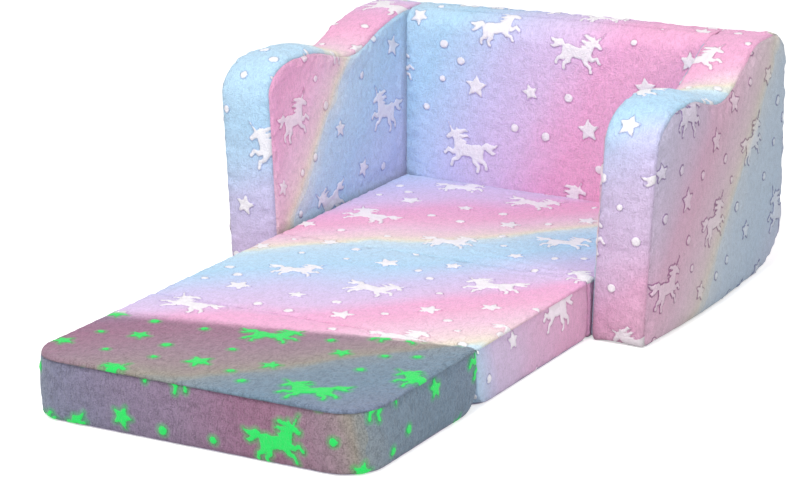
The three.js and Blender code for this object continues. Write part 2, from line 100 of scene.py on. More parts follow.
# How the plush is sewn and stuffed
EDGE_ROLL, SEAM_INSET, TUCK = 6 * MM, 2.5 * MM, 8 * MM
PLUSH_THICKNESS = 2.2 * MM
SIDE_CROWN, INNER_CROWN, GUSSET_CROWN = 2.5 * MM, 1 * MM, 7.5 * MM
CROWN_REACH = 70 * MM
LOW_BULGE, LOW_BULGE_REACH = 10 * MM, 80 * MM
FOLDED_ROOM, FOLDED_ROOM_REACH = 3.5 * MM, 40 * MM
BEHIND_BACK_FACE = 22 * MM
PUCKER_HEIGHT, PUCKER_REACH, PUCKER_SIZE = 3.0 * MM, 13 * MM, 10 * MM
GUSSET_PUCKER = 3.4 * MM
# Quieter seams on the panels and the backrest: smaller puckers and less painted seam shade
PANEL_SEAMS = {"pucker": 2.4 * MM, "seam": 0.12}
# The next three lines are painted shade: darker colour along the sewn edges and towards the floor, and a
# grey mixed into the lower arm fronts
SEAM_SHADE, SEAM_SHADE_REACH = 0.30, 3 * MM
LOW_SHADE, LOW_SHADE_REACH = 0.30, 42 * MM
FRONT_SHADE, FRONT_SHADE_TOP, FRONT_SHADE_SPAN = {-1: 0.10, 1: 0.27}, 0.34, 0.13
SWELL_HEIGHT, SWELL_SIZE = 1.0 * MM, 70 * MM
PILE_HEIGHT, PILE_SIZE = 0.55 * MM, 5.5 * MM
FINE, COARSE, WIDE = 1.3 * MM, 2.6 * MM, 3.6 * MM
FINE_REACH = 9 * MM
LOWEST = 0.2 * MM

# The cloth simulation that stuffs each cover
CLOTH_SPACING, SEWN_BAND = 9 * MM, 7 * MM
CLOTH_FRAMES = 20
CLOTH_SETTINGS = {
    "quality": 6, "mass": 0.15, "tension_stiffness": 10, "compression_stiffness": 10,
    "shear_stiffness": 5, "bending_stiffness": 0.12, "vertex_group_mass": "sewn", "use_pressure": True,
}

# The mattress
PANEL_EDGE, PANEL_CROWN, PANEL_CROWN_REACH = 93 * MM, 0.3 * MM, 80 * MM
PANEL_BULGE = 2 * MM
LOWER_ROUND = 9 * MM
CORNER_RADIUS, FRONT_LEFT_RADIUS, FRONT_RIGHT_RADIUS = 4 * MM, 52 * MM, 59 * MM
FOLD_HEEL, FOLD_HEEL_WIDTH, FOLD_HEEL_DEPTH = 42 * MM, 40 * MM, 72 * MM
FOLD_ROLL = 3.5 * MM
FOLD_HALF, FOLD_DIP, FOLD_TOP = 13 * MM, 1.2 * MM, 0.0924
CLOTH_SHEET, CLOTH_SHEET_HEM, CLOTH_SHEET_STEP = 0.9 * MM, 1.4 * MM, 12 * MM

# The backrest
BACK_ROLL, BACK_PAD_CROWN, BACK_CROWN_REACH = 26 * MM, 5 * MM, 90 * MM
BACK_OVERLAP, REAR_INSET = 1.5 * MM, 5 * MM

# The foam inside the covers
FOAM_INSET, FOAM_VOXEL = 11 * MM, 12 * MM

# The zips and the covers round them
ZIP_LIP, ZIP_MARGIN, ZIP_END, ZIP_DEPTH, ZIP_REACH = 8 * MM, 1.5 * MM, 2 * MM, 0.9 * MM, 12 * MM
TOOTH_PITCH = 3.6 * MM

# The emboss
EMBOSS_HEIGHT, EMBOSS_SLOPE = 1.4 * MM, 2.6 * MM
UNICORN_LENGTH, STAR_SIZE, DOT_SIZE = 86 * MM, 33 * MM, 12.5 * MM
REPEAT = np.array([0.62, 0.53])
LAYOUT_SEED = 5
FAR_OUTSIDE = -20 * MM
NO_MOTIF = 15 * MM

# The factors that mix a place of the noise lattice into its height
HASH_FACTORS, HASH_SEED, HASH_MIX = (73856093, 19349663, 83492791), 265443576, 1274126177


def ease(share):
    return (1 - np.cos(np.pi * np.clip(share, 0, 1))) / 2


def smooth(share):
    share = np.clip(share, 0, 1)
    return share * share * (3 - 2 * share)


def lattice_noise(points, size, seed):
    """Smooth noise from -1 to 1, with bumps about as wide as size."""
    cell = points / size
    base = np.floor(cell).astype(np.int64)
    part = smooth(cell - base)
    total = np.zeros(len(points))
    for corner in itertools.product((0, 1), repeat=3):
        key = base + np.array(corner)
        mixed = seed * HASH_SEED
        for axis, factor in enumerate(HASH_FACTORS):
            mixed = mixed ^ key[:, axis] * factor
        mixed = ((mixed ^ (mixed >> 13)) * HASH_MIX) & 0xFFFFFFFF
        value = ((mixed ^ (mixed >> 15)) & 0xFFFF) / 32767.5 - 1
        total += value * np.prod(np.where(corner, part, 1 - part), axis=1)
    return total


def stations(low, high, step, fine_low=True, fine_high=True):
    """Places from low to high, closer together near the ends that are rolled."""
    at = [low]
    while at[-1] < high:
        near = min(
            at[-1] - low if fine_low else FINE_REACH,
            high - at[-1] if fine_high else FINE_REACH,
        )
        at.append(at[-1] + FINE + (step - FINE) * min(1, near / FINE_REACH))
    at = np.array(at)
    return low + (at - low) * (high - low) / (at[-1] - low)


def edge_distance(columns, rows):
    """How far each place of a grid is from the grid's nearest edge."""
    sides = np.minimum(columns - columns[0], columns[-1] - columns)
    ends = np.minimum(rows - rows[0], rows[-1] - rows)
    return np.minimum(sides[None], ends[:, None])


# The side outline
def outline_top(y):
    nose = ARM_HEIGHT - NOSE_RISE + NOSE_RISE * np.sqrt(np.clip(1 - (1 - y / NOSE_RUN) ** 2, 0, 1))
    ramp = ARM_HEIGHT - (ARM_HEIGHT - SADDLE_HEIGHT) * ease((y - HUMP_END) / (SADDLE_AT - HUMP_END))
    shoulder = (BACK_HEIGHT - SADDLE_HEIGHT) * ease((y - SADDLE_AT) / (SHOULDER_END - SADDLE_AT))
    past = np.clip((y - REAR_SEAM) / REAR_TOP_RADIUS, 0, 1)
    rear = REAR_TOP_RADIUS * (1 - np.sqrt(1 - past**2))
    return np.where(y < NOSE_RUN, nose, ramp + shoulder - rear)


def outline_bottom(y):
    toe = TOE_RADIUS - np.sqrt(np.clip(TOE_RADIUS**2 - np.clip(TOE_RADIUS - y, 0, None) ** 2, 0, None))
    past = np.clip((y - HEEL_START) / HEEL_RUN, 0, 1)
    return toe + HEEL_RISE * (1 - np.sqrt(1 - past**2))


def arc(centre, run, rise, first, last, steps=14):
    t = np.linspace(math.radians(first), math.radians(last), steps)
    return np.stack([centre[0] + run * np.cos(t), centre[1] + rise * np.sin(t)], 1)


def front_path():
    """From under the toe up the front and over the arm to the rear seam."""
    toe = arc((TOE_RADIUS, TOE_RADIUS), TOE_RADIUS, TOE_RADIUS, 270, 180)
    nose = arc((NOSE_RUN, ARM_HEIGHT - NOSE_RISE), NOSE_RUN, NOSE_RISE, 180, 90, 30)
    y = np.linspace(NOSE_RUN, REAR_SEAM, 90)[1:]
    return np.vstack([toe, nose, np.stack([y, outline_top(y)], 1)])


def rear_path():
    """From the rear seam down the rear and under the heel."""
    top = arc((REAR_SEAM, BACK_HEIGHT - REAR_TOP_RADIUS), REAR_TOP_RADIUS, REAR_TOP_RADIUS, 90, 0, 24)
    heel = arc((HEEL_START, HEEL_RISE), HEEL_RUN, HEEL_RISE, 0, -90, 24)
    return np.vstack([top, heel])


def along(path, places):
    """Points and outward normals at distances along a path that runs clockwise."""
    steps = np.linalg.norm(np.diff(path, axis=0), axis=1)
    at = np.concatenate([[0], np.cumsum(steps)])
    points = np.stack([np.interp(places, at, path[:, k]) for k in (0, 1)], 1)
    ahead = np.stack([np.interp(places + 2 * MM, at, path[:, k]) for k in (0, 1)], 1)
    behind = np.stack([np.interp(places - 2 * MM, at, path[:, k]) for k in (0, 1)], 1)
    run = ahead - behind
    run /= np.linalg.norm(run, axis=1)[:, None]
    return points, np.stack([-run[:, 1], run[:, 0]], 1)


def raised(line, normal, rise):
    """Where a strip lies in y and z, when it follows a path and rises from it."""
    return (line[:, k][:, None] + normal[:, k][:, None] * rise for k in (0, 1))


def path_length(path):
    return float(np.linalg.norm(np.diff(path, axis=0), axis=1).sum())


def distance_to(points, path):
    """How far each point is from a line of points."""
    nearest = np.full(len(points), np.inf)
    for a, b in zip(path[:-1], path[1:]):
        run = b - a
        share = np.clip((points - a) @ run / max(run @ run, 1e-12), 0, 1)
        nearest = np.minimum(nearest, np.linalg.norm(points - a - share[:, None] * run, axis=1))
    return nearest


def roll(distance, radius=EDGE_ROLL):
    """How far a rolled edge has turned down, at a distance in from it."""
    inside = np.clip(radius - distance, 0, radius)
    return radius - np.sqrt(np.clip(radius**2 - inside**2, 0, None))


def crown(distance, height, reach):
    return height * (1 - np.exp(-np.clip(distance, 0, None) / reach * 2))


def leaned(x, y, z, side):
    """The arms lean out towards the front and the top. x counts outwards here."""
    front = np.clip(1 - y / BACK_FACE, 0, 1)
    up = np.clip(z, 0, None) / ARM_HEIGHT
    soft = np.clip(z, 0, None) / (np.clip(z, 0, None) + LEAN_SOFTENING)
    across = (x - (INNER + OUTER) / 2) / (OUTER - INNER)
    lean = up * soft * front
    return np.stack([side * (x + ARM_LEAN * lean), y + ARM_FRONT, z - ARM_TILT * across * lean], -1)


def settled(points):
    """The stuffed backrest sags towards its left, and the left arm's shoulder rises to it early."""
    x, y, z = points[..., 0], points[..., 1] - ARM_FRONT, points[..., 2]
    high = smooth((z - SAG_HEIGHT) / SAG_HEIGHT_SPAN)
    lift = np.interp(x, SAG_AT, SAG_BY) * smooth((y - SAG_DEPTH) / SAG_DEPTH_SPAN)
    early = np.exp(-(((y - LEFT_RISE_AT) / LEFT_RISE_REACH) ** 2)) * smooth((-x - 0.2) / 0.05)
    lift = (lift + LEFT_RISE * early) * high
    return points + np.stack([0 * lift, 0 * lift, lift], -1)


# The motifs of the print: strokes of (along, up, half width), as shares of the unicorn's length
UNICORN_SHARES = [
    [(0.245, 0.455, 0.128), (0.36, 0.435, 0.112), (0.50, 0.430, 0.118), (0.615, 0.465, 0.120)],
    [(0.645, 0.53, 0.100), (0.70, 0.645, 0.074), (0.735, 0.705, 0.070), (0.80, 0.675, 0.052),
     (0.885, 0.615, 0.038)],
    [(0.795, 0.735, 0.024), (0.90, 0.90, 0.005)],
    [(0.725, 0.75, 0.024), (0.705, 0.825, 0.006)],
    [(0.70, 0.76, 0.034), (0.62, 0.765, 0.036), (0.54, 0.80, 0.030), (0.47, 0.785, 0.006)],
    [(0.66, 0.68, 0.044), (0.57, 0.675, 0.036), (0.50, 0.70, 0.026), (0.44, 0.68, 0.006)],
    [(0.62, 0.60, 0.040), (0.54, 0.585, 0.030), (0.47, 0.60, 0.006)],
    [(0.655, 0.405, 0.072), (0.755, 0.345, 0.044), (0.85, 0.395, 0.031), (0.90, 0.325, 0.028),
     (0.915, 0.305, 0.034)],
    [(0.60, 0.36, 0.066), (0.655, 0.24, 0.042), (0.745, 0.195, 0.030), (0.755, 0.115, 0.028),
     (0.765, 0.095, 0.034)],
    [(0.215, 0.40, 0.092), (0.165, 0.285, 0.054), (0.075, 0.245, 0.033), (0.035, 0.165, 0.029),
     (0.04, 0.145, 0.034)],
    [(0.285, 0.37, 0.084), (0.285, 0.235, 0.050), (0.205, 0.165, 0.033), (0.205, 0.085, 0.029),
     (0.215, 0.065, 0.034)],
    [(0.155, 0.52, 0.040), (0.07, 0.60, 0.050), (-0.02, 0.575, 0.050), (-0.10, 0.60, 0.030),
     (-0.16, 0.65, 0.006)],
    [(0.09, 0.56, 0.040), (0.00, 0.50, 0.045), (-0.07, 0.46, 0.030), (-0.13, 0.48, 0.006)],
]
UNICORN_MIDDLE = (0.42, 0.44)
STAR_POINTS, STAR_WAIST_SHARE, STAR_GROWTH = 5, 0.48, 0.6 * MM

# How many of each motif lie in one repeat, how far each reaches, and how much its size varies
MOTIF_COUNTS = (("unicorn", 8, 44 * MM, 0.08), ("star", 13, 17 * MM, 0.20), ("dot", 30, 8 * MM, 0.20))
SPOTS_TRIED = 40


def star_line():
    turns = np.arange(2 * STAR_POINTS) * math.pi / STAR_POINTS
    reach = np.where(np.arange(2 * STAR_POINTS) % 2, STAR_SIZE / 2 * STAR_WAIST_SHARE, STAR_SIZE / 2)
    return np.stack([reach * np.sin(turns), reach * np.cos(turns)], 1)


def scattered():
    """The motifs of one repeat, evenly scattered: kind, place, turn, mirror, size and reach."""
    draw = random.Random(LAYOUT_SEED)
    placed = []

    def clearance(spot, reach):
        gaps = [(spot - other[1] + REPEAT / 2) % REPEAT - REPEAT / 2 for other in placed]
        return min((np.hypot(*gap) - reach - other[5] for gap, other in zip(gaps, placed)), default=1)

    for kind, count, reach, spread in MOTIF_COUNTS:
        for _ in range(count):
            spots = [REPEAT * (draw.random(), draw.random()) for _ in range(SPOTS_TRIED)]
            spot = max(spots, key=lambda place: clearance(place, reach))
            turn = math.radians(draw.uniform(-30, 30))
            mirror = draw.choice((-1, 1))
            size = 1 + draw.uniform(-spread, spread)
            placed.append((kind, spot, turn, mirror, size, reach))
    return placed


STAR_LINE = star_line()
LAYOUT = scattered()


def star_distance(points):
    """Distance to the star's outline, positive inside it."""
    closed = np.vstack([STAR_LINE, STAR_LINE[:1]])
    within = np.zeros(len(points), bool)
    for a, b in zip(closed[:-1], closed[1:]):
        crosses = (a[1] > points[:, 1]) != (b[1] > points[:, 1])
        at = a[0] + (points[:, 1] - a[1]) / (b[1] - a[1] if b[1] != a[1] else 1) * (b[0] - a[0])
        within ^= crosses & (points[:, 0] < at)
    return np.where(within, 1, -1) * distance_to(points, closed) + STAR_GROWTH


def unicorn_distance(points):
    """Distance into the nearest stroke of the unicorn, negative outside."""
    nearest = np.full(len(points), FAR_OUTSIDE)
    for stroke in UNICORN_SHARES:
        knots = (np.array(stroke) - (*UNICORN_MIDDLE, 0)) * UNICORN_LENGTH
        for a, b in zip(knots[:-1], knots[1:]):
            run = b[:2] - a[:2]
            share = np.clip((points - a[:2]) @ run / (run @ run), 0, 1)
            away = np.linalg.norm(points - a[:2] - share[:, None] * run, axis=1)
            nearest = np.maximum(nearest, a[2] + (b[2] - a[2]) * share - away)
    return nearest


def dot_distance(points):
    return DOT_SIZE / 2 - np.linalg.norm(points, axis=1)


# How far into each motif a place is, and how far from its middle that is worked out
MOTIF_FORMS = {
    "unicorn": (unicorn_distance, 75 * MM), "star": (star_distance, 32 * MM), "dot": (dot_distance, 32 * MM),
}


def motif_distance(cloth):
    """Distance into the nearest motif of the print, negative outside, for places on the cloth."""
    nearest = np.full(len(cloth), FAR_OUTSIDE)
    for kind, spot, turn, mirror, size, _ in LAYOUT:
        into, within = MOTIF_FORMS[kind]
        offset = (cloth - spot + REPEAT / 2) % REPEAT - REPEAT / 2
        close = np.linalg.norm(offset, axis=1) < within
        c, s = math.cos(turn), math.sin(turn)
        local = offset[close] @ np.array([[c, -s], [s, c]]) * np.array([mirror, 1]) / size
        nearest[close] = np.maximum(nearest[close], into(local) * size)
    return nearest


def turned(places, degrees, shift):
    """Where places on a piece lie on the roll of cloth that it was cut from."""
    c, s = math.cos(math.radians(degrees)), math.sin(math.radians(degrees))
    return places @ np.array([[c, s], [-s, c]]) + np.array(shift)


# Making pieces
def deselect():
    for thing in bpy.context.selected_objects:
        thing.select_set(False)


def only(piece):
    deselect()
    piece.select_set(True)
    bpy.context.view_layer.objects.active = piece


def in_edit_mode(piece, operator, **settings):
    """Run an edit mode operator on the whole of a piece."""
    only(piece)
    bpy.ops.object.mode_set(mode="EDIT")
    bpy.ops.mesh.select_all(action="SELECT")
    operator(**settings)
    bpy.ops.object.mode_set(mode="OBJECT")


def modify(piece, kind, **settings):
    """Add a modifier to a piece and apply it."""
    only(piece)
    modifier = piece.modifiers.new("change", kind)
    for key, value in settings.items():
        setattr(modifier, key, value)
    bpy.ops.object.modifier_apply(modifier="change")


def places_of(piece):
    places = np.empty(len(piece.data.vertices) * 3, np.float32)
    piece.data.vertices.foreach_get("co", places)
    return places.reshape(-1, 3).astype(float)


def move_to(piece, places):
    piece.data.vertices.foreach_set("co", places.astype(np.float32).ravel())
    piece.data.update()


def grid_piece(name, points):
    """A grid through rows and columns of points, facing along rows cross columns."""
    rows, columns = points.shape[:2]
    deselect()
    bpy.ops.mesh.primitive_grid_add(x_subdivisions=columns - 1, y_subdivisions=rows - 1, size=1)
    piece = bpy.context.active_object
    piece.name = piece.data.name = name
    move_to(piece, points)
    in_edit_mode(piece, bpy.ops.mesh.flip_normals)
    return piece


def thicken(piece, thickness):
    """Give a sheet its thickness, inwards from its outer face."""
    only(piece)
    bpy.ops.object.shade_smooth()
    modify(piece, "SOLIDIFY", thickness=thickness, offset=-1)


def woven_sheet(name, points, thickness):
    piece = grid_piece(name, points)
    thicken(piece, thickness)
    return piece


def set_values(piece, values):
    """Give a piece the point values that the plush material reads."""
    for label, value in values.items():
        layer = piece.data.attributes.new(label, "FLOAT", "POINT")
        layer.data.foreach_set("value", value.astype(np.float32).ravel())


def places_apart(points, axis):
    """The rows or columns of a grid that lie about one cloth spacing apart."""
    steps = np.linalg.norm(np.diff(points, axis=axis), axis=-1).mean(axis=1 - axis)
    at = np.concatenate([[0], np.cumsum(steps)])
    wanted = np.linspace(0, at[-1], max(6, round(at[-1] / CLOTH_SPACING)) + 1)
    return np.unique(np.searchsorted(at, wanted - 1e-9))


def resampled(coarse, picked, count):
    """Rows that were picked out of count fine rows, brought back to all of them by a smooth spline."""
    at = np.interp(np.arange(count), picked, np.arange(len(picked)))
    base = np.floor(at).astype(int)
    t = at - base
    weights = [(1 - t) ** 3, 3 * t**3 - 6 * t**2 + 4, -3 * t**3 + 3 * t**2 + 3 * t + 1, t**3]
    taps = [np.clip(base + k, 0, len(picked) - 1) for k in (-1, 0, 1, 2)]
    return sum(coarse[tap] * (weight / 6)[:, None, None] for tap, weight in zip(taps, weights))


def swelling(name, points, edge, pressure, cap, spare):
    """How a cover moves when it is stuffed: a coarse cloth, sewn along its edges, under pressure."""
    if not pressure:
        return np.zeros_like(points)
    rows, columns = places_apart(points, 0), places_apart(points, 1)
    flat = points[rows][:, columns]
    cloth = grid_piece(name + "_cloth", flat)
    sewn = cloth.vertex_groups.new(name="sewn")
    held = np.flatnonzero(edge[rows][:, columns].ravel() < SEWN_BAND)
    sewn.add([int(k) for k in held], 1.0, "REPLACE")
    settings = cloth.modifiers.new("cloth", "CLOTH").settings
    for key, value in CLOTH_SETTINGS.items():
        setattr(settings, key, value)
    settings.uniform_pressure_force = pressure
    settings.shrink_min = -spare
    settings.effector_weights.gravity = 0
    scene = bpy.context.scene
    for number in range(1, CLOTH_FRAMES + 1):
        scene.frame_set(number)
    only(cloth)
    bpy.ops.object.modifier_apply(modifier="cloth")
    shift = places_of(cloth).reshape(flat.shape) - flat
    bpy.data.objects.remove(cloth)
    scene.frame_set(1)
    length = np.linalg.norm(shift, axis=-1, keepdims=True)
    shift *= cap * np.tanh(length / cap) / np.maximum(length, 1e-9)
    shift = resampled(shift, rows, points.shape[0]).swapaxes(0, 1)
    return resampled(shift, columns, points.shape[1]).swapaxes(0, 1)


def facing(points, ring):
    """Outward directions, averaged so that a squeezed corner of the grid takes its neighbours'."""
    rows, columns = points.shape[:2]
    if ring:
        points = np.concatenate([points[:, -4:-1], points, points[:, 1:4]], axis=1)
    normal = np.cross(np.gradient(points, axis=0), np.gradient(points, axis=1))
    for _ in range(2):
        padded = np.pad(normal, ((1, 1), (1, 1), (0, 0)), mode="edge")
        shape = normal.shape
        normal = sum(
            padded[i:i + shape[0], j:j + shape[1]] for i, j in itertools.product(range(3), repeat=2)
        )
    if ring:
        normal = normal[:, 3:3 + columns]
    return normal / np.maximum(np.linalg.norm(normal, axis=-1), 1e-12)[..., None]


def zip_mask(points, low, high):
    """1 over a zip, falling to 0 past its lips."""
    away = np.linalg.norm(np.maximum(np.maximum(low - points, points - high), 0), axis=-1)
    return 1 - smooth(away / ZIP_LIP)


def plush_sheet(name, points, flat, phase, edge, cut, seed, turn=(True, False), dusk=0.0, side_shade=0.0,
                white=1.0, ring=False, pressure=0.0, cap=0.0, spare=0.0, zips=(), pucker=PUCKER_HEIGHT,
                pucker_shape=(1, 1, 1), seam=SEAM_SHADE, low_shade=0.0, creases=(), tuck=TUCK):
    """A cover of plush over rows and columns of points, stuffed, puckered and embossed.

    flat is each point's place on the cover laid out flat, and edge its distance from the sewn edge.
    turn says whether the rows and the columns are taken backwards, so that the cover faces outward.
    The border is tucked into the seam. A ring's first and last columns meet.
    """
    # Painted shade along the sewn edges, and also towards the floor where low_shade is given; the material
    # reads it as the seam value
    shade = seam * np.exp(-edge / SEAM_SHADE_REACH) + low_shade
    order = tuple(slice(None, None, -1 if back else 1) for back in turn)
    phase, dusk, side_shade, white, shade = (
        np.broadcast_to(value, edge.shape)[order] for value in (phase, dusk, side_shade, white, shade)
    )
    points, flat, edge = points[order], flat[order], edge[order]
    points = points + swelling(name, points, edge, pressure, cap, spare)
    normal = facing(points, ring)
    spots = points.reshape(-1, 3)
    motif = motif_distance(turned(flat.reshape(-1, 2), *cut)).reshape(edge.shape)

    def relief(size, number, room, shape=(1, 1, 1)):
        bumps = lattice_noise(spots * shape, size, seed + number).reshape(edge.shape)
        return bumps * smooth(edge / room)

    height = pucker * relief(PUCKER_SIZE, 0, 7 * MM, pucker_shape) * np.exp(-edge / PUCKER_REACH)
    height += SWELL_HEIGHT * relief(SWELL_SIZE, 7, 30 * MM) + PILE_HEIGHT * relief(PILE_SIZE, 13, 3 * MM)
    for start, end, depth, width in creases:
        near = distance_to(spots[:, :2], np.array([start, end])).reshape(edge.shape) / width
        height += depth * (0.6 * np.exp(-((near - 1.6) ** 2)) - np.exp(-(near**2)))
    height += EMBOSS_HEIGHT * smooth(motif / EMBOSS_SLOPE + 0.4) * smooth(edge / (5 * MM))
    pressed = [(zip_mask(points, low, high), out, plane) for low, high, out, plane in zips]
    for mask, _, _ in pressed:
        height = height * (1 - mask)
        motif = motif - NO_MOTIF * mask
    points = points + normal * height[..., None]
    for mask, out, plane in pressed:
        points[..., out] += (plane - points[..., out]) * mask

    pad = ((1, 1), (0, 0) if ring else (1, 1))
    tuck = np.pad(np.zeros(edge.shape), pad, constant_values=tuck)
    points = np.pad(points, (*pad, (0, 0)), mode="edge")
    points -= np.pad(normal, (*pad, (0, 0)), mode="edge") * tuck[..., None]
    points[..., 2] = np.maximum(points[..., 2], LOWEST + 0.1 * MM)
    piece = grid_piece(name, points)
    values = {
        "phase": phase, "motif": motif / MM, "dusk": dusk, "side_shade": side_shade, "white": white, "seam": shade,
    }
    set_values(piece, {label: np.pad(value, pad, mode="edge") for label, value in values.items()})
    mesh = piece.data
    corners = np.empty(len(mesh.loops), np.int32)
    mesh.loops.foreach_get("vertex_index", corners)
    place = np.pad(flat, (*pad, (0, 0)), mode="edge").reshape(-1, 2)
    mesh.uv_layers[0].data.foreach_set("uv", place[corners].astype(np.float32).ravel())
    if ring:
        in_edit_mode(piece, bpy.ops.mesh.remove_doubles, threshold=0.05 * MM)
    thicken(piece, PLUSH_THICKNESS)
    places = places_of(piece)
    places[:, 2] = np.maximum(places[:, 2], LOWEST)
    move_to(piece, places)
    return piece


def finish(piece, body, node, material):
    if material:
        piece.data.materials.clear()
        piece.data.materials.append(material)
    if body:
        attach(piece, body)
    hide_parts(node)
    return piece


def finish_cover(piece, body, node):
    return finish(piece, body, node, PLUSH)


# Materials
PRINT_STOPS = [
    (0.000, (0.86, 0.94, 0.98)),
    (0.035, (0.78, 0.91, 1.00)),
    (0.120, (0.74, 0.89, 1.00)),
    (0.250, (0.80, 0.87, 1.00)),
    (0.370, (0.86, 0.83, 0.98)),
    (0.500, (0.92, 0.80, 0.95)),
    (0.610, (0.98, 0.72, 0.88)),
    (0.700, (0.99, 0.73, 0.87)),
    (0.820, (0.99, 0.82, 0.91)),
    (0.910, (0.99, 0.88, 0.90)),
    (0.965, (0.98, 0.94, 0.87)),
    (1.000, (0.90, 0.95, 0.94)),
]
MOTIF_WHITE = (1.0, 0.985, 1.0)
MOTIF_SHADE = (0.80, 0.72, 0.84)
# The grey that painted side shade mixes into the print, on faces that lie in shade
SIDE_SHADE_COLOR = (0.70, 0.67, 0.70)
GLOW_GREEN = (0.20, 0.93, 0.42)
GLOW_CLOTH = (0.16, 0.70, 0.33)
DUSK_TINT = (0.635, 0.63, 0.64)
BLACK = (0, 0, 0, 1)
BRUSHED_TURN, BRUSHED_STRETCH = math.radians(28), 0.36
PRINT_WANDER, MOTIF_FRAY, PILE_SPREAD = 0.05, 3.0, (0.36, 0.60)
HALO_SHARE, HALO_GLOW, GLOW_STRENGTH = 0.42, 0.4, 0.42


def linear(color):
    return tuple(c / 12.92 if c <= 0.04045 else ((c + 0.055) / 1.055) ** 2.4 for c in color) + (1.0,)


def toned(color, factor):
    """A colour made darker or brighter."""
    return linear([min(1, c * factor) for c in color])


class Graph:
    """Short ways to add nodes to a material or to the world."""

    def __init__(self, owner, shader="Principled BSDF"):
        self.owner = owner
        owner.use_nodes = True
        self.tree = owner.node_tree
        self.shader = self.tree.nodes[shader]

    def put(self, target, value):
        if isinstance(value, bpy.types.NodeSocket):
            self.tree.links.new(value, target)
        else:
            target.default_value = value

    def surface(self, inputs):
        for name, value in inputs.items():
            self.put(self.shader.inputs[name], value)

    def node(self, kind, inputs=None, **settings):
        made = self.tree.nodes.new(kind)
        for key, value in settings.items():
            setattr(made, key, value)
        for key, value in (inputs or {}).items():
            self.put(made.inputs[key], value)
        return made

    def value(self, name):
        return self.node("ShaderNodeAttribute", attribute_name=name).outputs["Fac"]

    def place(self, kind="Object"):
        return self.node("ShaderNodeTexCoord").outputs[kind]

    def math(self, operation, first, second):
        return self.node("ShaderNodeMath", {0: first, 1: second}, operation=operation).outputs[0]

    def times(self, first, second):
        return self.math("MULTIPLY", first, second)

    def less(self, first, second):
        return self.math("SUBTRACT", first, second)

    def spread(self, value, low, high, to_low=0.0, to_high=1.0):
        inputs = {"Value": value, "From Min": low, "From Max": high, "To Min": to_low, "To Max": to_high}
        return self.node("ShaderNodeMapRange", inputs, interpolation_type="SMOOTHSTEP").outputs["Result"]

    def mix(self, share, first, second, blend="MIX"):
        inputs = {"Factor": share, 6: first, 7: second}
        return self.node("ShaderNodeMix", inputs, data_type="RGBA", blend_type=blend).outputs[2]

    def shaded(self, color, grey):
        """A colour times a grey value."""
        made = self.node("ShaderNodeCombineColor", {0: grey, 1: grey, 2: grey})
        return self.mix(1.0, color, made.outputs["Color"], "MULTIPLY")

    def noise(self, scale, detail=2.0, roughness=0.5, place=None, distortion=0.0):
        inputs = {"Vector": place or self.place(), "Scale": scale, "Detail": detail}
        inputs.update({"Roughness": roughness, "Distortion": distortion})
        return self.node("ShaderNodeTexNoise", inputs).outputs["Fac"]

    def bump(self, height, strength, distance, below=None):
        inputs = {"Height": height, "Strength": strength, "Distance": distance}
        if below:
            inputs["Normal"] = below
        return self.node("ShaderNodeBump", inputs).outputs["Normal"]

    def seen_by_eye(self):
        """1 for rays that show the background: camera, glossy and transmission."""
        path = self.node("ShaderNodeLightPath").outputs
        through = self.math("MAXIMUM", path["Is Glossy Ray"], path["Is Transmission Ray"])
        return self.math("MAXIMUM", path["Is Camera Ray"], through)


